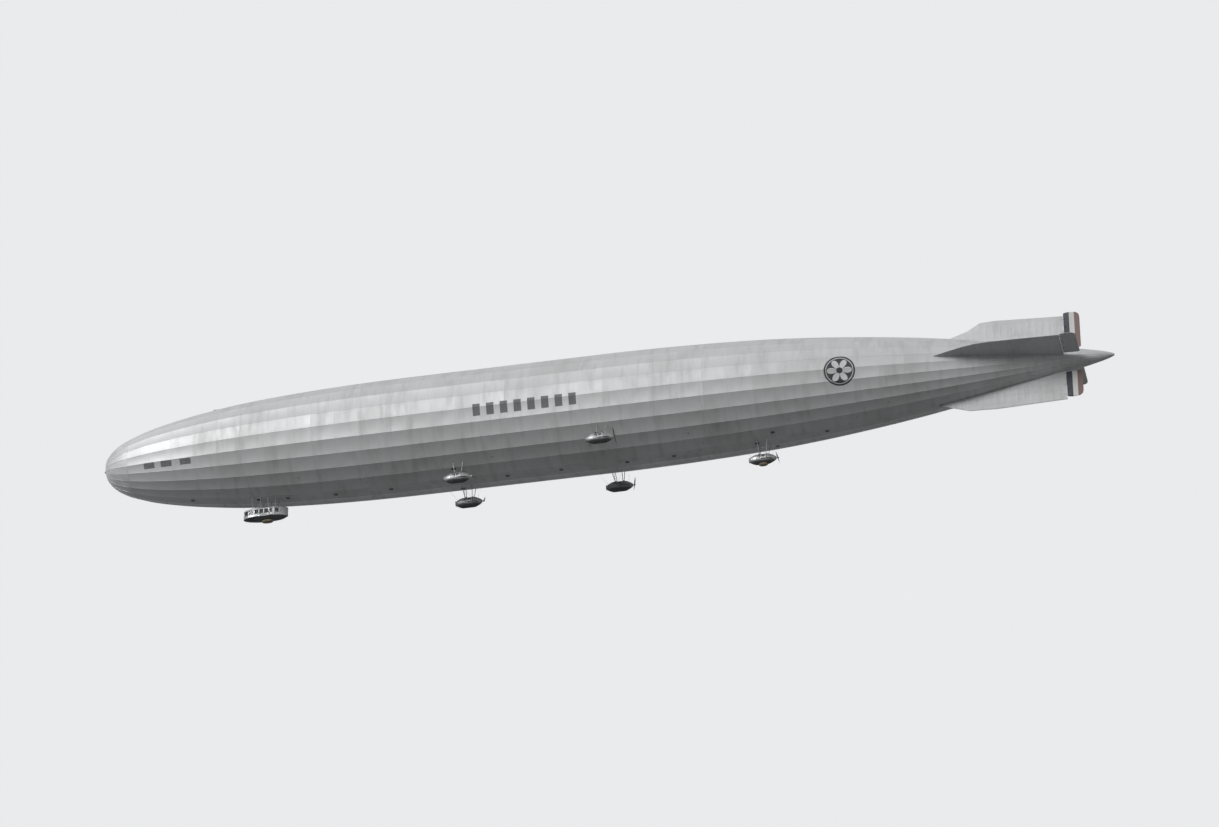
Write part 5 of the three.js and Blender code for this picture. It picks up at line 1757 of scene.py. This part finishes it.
def make_camera():
    """A long lens far below the ship, near the floor, turned as little as the photograph is."""
    look = settings("airship_stage")
    a, e = math.radians(look.azimuth), math.radians(look.elevation)
    place = Vector((math.sin(a) * math.cos(e), -math.cos(a) * math.cos(e), math.sin(e))) * look.distance
    data = bpy.data.cameras.new("camera")
    data.lens = look.lens
    data.sensor_width = 36
    data.clip_start, data.clip_end = 1, 3000
    camera = shown("camera", data)
    facing = (place - Vector(look.aim)).to_track_quat("Z", "Y").to_matrix().to_4x4()
    camera.matrix_world = shift(*place) @ facing @ spin(math.radians(look.roll), "Z")
    bpy.context.scene.camera = camera
    return camera


def make_floor(level):
    """A wide pale floor that is clear from below, so that low views from under it still show the ship."""
    steps = 8
    row = steps + 1
    places = spaced(-900, 900, steps)
    points = [(x, y, level) for x in places for y in places]
    corners = [i * row + j for i in range(steps) for j in range(steps)]
    mesh = bpy.data.meshes.new("floor")
    mesh.from_pydata(points, [], [(a, a + row, a + row + 1, a + 1) for a in corners])
    glow = (1, 1, 0.995, 1)
    plaster = Finish("floor_plaster", Roughness=0.95, Emission_Strength=0.52, Emission_Color=glow)
    colour = plaster.mix(plaster.noise(0.15), (0.42, 0.42, 0.417, 1), (0.38, 0.38, 0.377, 1))
    behind = plaster.node("ShaderNodeNewGeometry", out="Backfacing")
    clear = plaster.node("ShaderNodeBsdfTransparent")
    surface = plaster.node("ShaderNodeMixShader", None, {0: behind, 1: plaster.shader, 2: clear})
    floor = shown("floor", mesh, [plaster.feed(surface, Base_Color=colour)])
    floor.visible_diffuse = False
    floor.visible_glossy = False


def make_sky():
    """A plain pale backdrop that lights the ship brightly from above and dimly from below."""
    look = settings("airship_stage")
    world = bpy.data.worlds.new("soft_sky")
    bpy.context.scene.world = world
    sky = Graph(world)
    place = sky.node("ShaderNodeTexCoord", out="Generated")
    height = sky.node("ShaderNodeSeparateXYZ", None, {0: place}, 2)
    strength = height.rise(-0.3, 0.25, look.below, look.above)
    soft = sky.node("ShaderNodeBackground", None, {"Color": (0.97, 0.985, 1, 1), "Strength": strength})
    plain = sky.node("ShaderNodeBackground", None, {"Color": tuple(look.backdrop)})
    seen = sky.node("ShaderNodeLightPath", out="Is Camera Ray")
    mixed = sky.node("ShaderNodeMixShader", None, {0: seen, 1: soft, 2: plain})
    sky.node("ShaderNodeOutputWorld", None, {"Surface": mixed})


def make_lamp(name, towards, strength, spread):
    """A soft distant light that shines from a direction."""
    data = bpy.data.lights.new(name, "SUN")
    data.energy = strength
    data.angle = math.radians(spread)
    lamp = shown(name, data)
    lamp.rotation_mode = "QUATERNION"
    lamp.rotation_quaternion = Vector(towards).to_track_quat("Z", "Y")


# Add-on


# What makes each finish, with what it takes beside the name
FINISHES = {
    "hull_cloth": (hull_cloth,),
    "cap_metal": (cap_metal,),
    "fin_cloth": (fin_cloth,),
    "rudder_cloth": (fin_cloth, True),
    "grey_paint": (fittings_paint,),
    "dark_louvre": (fittings_paint, (0.035, 0.036, 0.038, 1), 0.2, 0.6),
    "engine_iron": (fittings_paint, (0.1, 0.1, 0.105, 1), 0.7, 0.4),
    "pipe_iron": (fittings_paint, (0.14, 0.085, 0.06, 1), 0.6, 0.6),
    "lashing_cord": (fittings_paint, (0.28, 0.23, 0.16, 1), 0.0, 0.85),
    # The control car's sheet is painted darker from just above its chine down, a painted shade on its belly
    "control_sheet": (car_sheet, (CHINE + 0.1) * M, (CHINE - 0.05) * M),
    "airscrew_wood": (varnished_wood,),
    "helm_wood": (varnished_wood, (0.24, 0.1, 0.035, 1), (0.1, 0.035, 0.012, 1)),
    "deck_wood": (planks,),
    "brass": (brass,),
    "window_pane": (window_glass,),
    "bag_canvas": (bag_canvas,),
    "radiator_core": (radiator_core,),
}


def finish(name, make, *options):
    """A material by name, made when it is first asked for."""
    return bpy.data.materials.get(name) or make(name, *options)


def shared(*names):
    return [finish(name, *FINISHES[name]) for name in names]


def power_car_sheet(name):
    """The sheet of a power car, with painted shade from a little below the middle of the car down."""
    height = CARS[name][2]
    return finish(f"sheet_at_{round(-height * 10)}", car_sheet, height * M - 0.025, height * M - 0.08)


class AIRSHIP_OT_covers(bpy.types.Operator):
    """Makes the lengths of silver cover between the nose cap and the post"""

    bl_idname = "airship.covers"
    bl_label = "Hull covers"

    def execute(self, context):
        for name, front, back in COVERS:
            make_cover(name, front, back, *shared("hull_cloth"))
        return {"FINISHED"}


class AIRSHIP_OT_ends(bpy.types.Operator):
    """Makes the plated nose, the mooring spindle and the tail cone"""

    bl_idname = "airship.ends"
    bl_label = "Nose and tail cone"

    def execute(self, context):
        make_nose(*shared("cap_metal"))
        make_spindle(*shared("grey_paint"))
        make_tail_cone(*shared("hull_cloth"))
        return {"FINISHED"}


class AIRSHIP_OT_fins(bpy.types.Operator):
    """Makes the four fins and the stays between them"""

    bl_idname = "airship.fins"
    bl_label = "Fins and stays"

    def execute(self, context):
        for tail in TAIL:
            make_fin(tail, *shared("fin_cloth", "grey_paint"))
        make_stays(*shared("grey_paint"))
        return {"FINISHED"}


class AIRSHIP_OT_flaps(bpy.types.Operator):
    """Makes the striped rudders and the elevators on their hinges"""

    bl_idname = "airship.flaps"
    bl_label = "Rudders and elevators"

    def execute(self, context):
        for tail in TAIL:
            cloth = "rudder_cloth" if tail[1] == "rudder" else "fin_cloth"
            make_flap(tail, *shared(cloth, "grey_paint"))
        return {"FINISHED"}


class AIRSHIP_OT_hull_fittings(bpy.types.Operator):
    """Makes the lookout's deck, the treadway, the valve hoods and the fittings of the keel"""

    bl_idname = "airship.hull_fittings"
    bl_label = "Deck and hull fittings"

    def execute(self, context):
        make_deck(*shared("deck_wood", "grey_paint", "bag_canvas"))
        make_top_fittings(*shared("deck_wood", "grey_paint"))
        make_keel_fittings(*shared("grey_paint", "dark_louvre"))
        return {"FINISHED"}


class AIRSHIP_OT_cars(bpy.types.Operator):
    """Makes the five power cars with their panes, pipes and radiators"""

    bl_idname = "airship.cars"
    bl_label = "Power cars"

    def execute(self, context):
        for name in CARS:
            make_car(name, power_car_sheet(name), *shared("grey_paint", "window_pane"))
            make_pipes(name, *shared("pipe_iron"))
            make_radiator(name, *shared("radiator_core", "grey_paint"))
        return {"FINISHED"}


class AIRSHIP_OT_engines(bpy.types.Operator):
    """Makes the engine in each power car"""

    bl_idname = "airship.engines"
    bl_label = "Engines"

    def execute(self, context):
        for name in CARS:
            make_engine(name, *shared("engine_iron", "pipe_iron"))
        return {"FINISHED"}


class AIRSHIP_OT_airscrews(bpy.types.Operator):
    """Makes the five wooden airscrews and their shafts"""

    bl_idname = "airship.airscrews"
    bl_label = "Airscrews"

    def execute(self, context):
        for name in CARS:
            make_propeller(name, *shared("airscrew_wood", "brass", "grey_paint"))
        return {"FINISHED"}


class AIRSHIP_OT_suspensions(bpy.types.Operator):
    """Makes the hoops, struts, wires and ladders that hang the power cars"""

    bl_idname = "airship.suspensions"
    bl_label = "Struts and ladders"

    def execute(self, context):
        for name in CARS:
            make_struts(name, *shared("grey_paint"))
        return {"FINISHED"}


class AIRSHIP_OT_control_car(bpy.types.Operator):
    """Makes the control car with its roof, trim, struts, wires and ladder"""

    bl_idname = "airship.control_car"
    bl_label = "Control car"

    def execute(self, context):
        make_control_car(*shared("control_sheet", "grey_paint", "window_pane", "dark_louvre"))
        make_control_frame(*shared("grey_paint"))
        return {"FINISHED"}


class AIRSHIP_OT_door(bpy.types.Operator):
    """Makes the door of the control car"""

    bl_idname = "airship.door"
    bl_label = "Control car door"

    def execute(self, context):
        make_door(*shared("control_sheet", "grey_paint", "brass", "window_pane"))
        return {"FINISHED"}


class AIRSHIP_OT_helms(bpy.types.Operator):
    """Makes the rudder wheel and the elevator wheel"""

    bl_idname = "airship.helms"
    bl_label = "Helms"

    def execute(self, context):
        middle = at(CONTROL_FRAME)
        aside = shift(middle + 2.3 * M, 0.72 * M) @ spin(-math.pi / 2, "Z")
        make_helm("rudder_wheel", *shared("helm_wood", "brass"), shift(middle + 3.1 * M), *real(1, 0.36))
        make_helm("elevator_wheel", *shared("helm_wood", "brass"), aside, *real(0.85, 0.32))
        return {"FINISHED"}


class AIRSHIP_OT_bags(bpy.types.Operator):
    """Makes the two bumping bags under the cars"""

    bl_idname = "airship.bags"
    bl_label = "Bumping bags"

    def execute(self, context):
        finishes = shared("bag_canvas", "lashing_cord")
        make_bag("aft_bumping_bag", 0.95, 0.5, at(CARS["aft"][0]), *finishes)
        top = BELLY * M - 2 * HALF_SEAT
        make_bag("control_bumping_bag", 1.25, 0.62, at(CONTROL_FRAME - 0.4), *finishes, top)
        return {"FINISHED"}


class AIRSHIP_OT_stage(bpy.types.Operator):
    """Makes the camera, the floor, the backdrop and the lights"""

    bl_idname = "airship.stage"
    bl_label = "Stage"

    def execute(self, context):
        look = settings("airship_stage")
        camera = make_camera()
        make_floor(camera.matrix_world.translation.z - look.eye)
        make_sky()
        # Shows the lit colours as they are, without a film look
        context.scene.view_settings.view_transform = "Standard"
        make_lamp("key_lamp", (0.52, 0.78, 0.35), look.key, 28)
        make_lamp("fill_lamp", (-0.2, -0.75, 0.4), 0.3 * look.key, 40)
        return {"FINISHED"}


OPERATORS = [
    AIRSHIP_OT_covers, AIRSHIP_OT_ends, AIRSHIP_OT_fins, AIRSHIP_OT_flaps, AIRSHIP_OT_hull_fittings,
    AIRSHIP_OT_cars, AIRSHIP_OT_engines, AIRSHIP_OT_airscrews, AIRSHIP_OT_suspensions,
    AIRSHIP_OT_control_car, AIRSHIP_OT_door, AIRSHIP_OT_helms, AIRSHIP_OT_bags, AIRSHIP_OT_stage,
]
SETTINGS = {
    "airship_hull": AirshipHullSettings,
    "airship_tail": AirshipTailSettings,
    "airship_cars": AirshipCarSettings,
    "airship_stage": AirshipStageSettings,
}


class AIRSHIP_PT_panel(bpy.types.Panel):
    """The sizes and colours of the airship, and its pieces in the order they are made"""

    bl_idname = "AIRSHIP_PT_panel"
    bl_label = "Airship"
    bl_space_type = "VIEW_3D"
    bl_region_type = "UI"
    bl_category = "Airship"

    def draw(self, context):
        for name, group in SETTINGS.items():
            box = self.layout.box()
            for key in group.__annotations__:
                box.prop(settings(name), key)
        for operator in OPERATORS:
            self.layout.operator(operator.bl_idname)


def register():
    for cls in (*SETTINGS.values(), *OPERATORS, AIRSHIP_PT_panel):
        bpy.utils.register_class(cls)
    for name, group in SETTINGS.items():
        setattr(bpy.types.Scene, name, PointerProperty(type=group))


def unregister():
    for name in SETTINGS:
        delattr(bpy.types.Scene, name)
    for cls in reversed((*SETTINGS.values(), *OPERATORS, AIRSHIP_PT_panel)):
        bpy.utils.unregister_class(cls)


def main():
    """Makes every piece in order."""
    register()
    for operator in OPERATORS:
        getattr(bpy.ops.airship, operator.bl_idname.split(".")[1])()


if __name__ == "__main__":
    main()
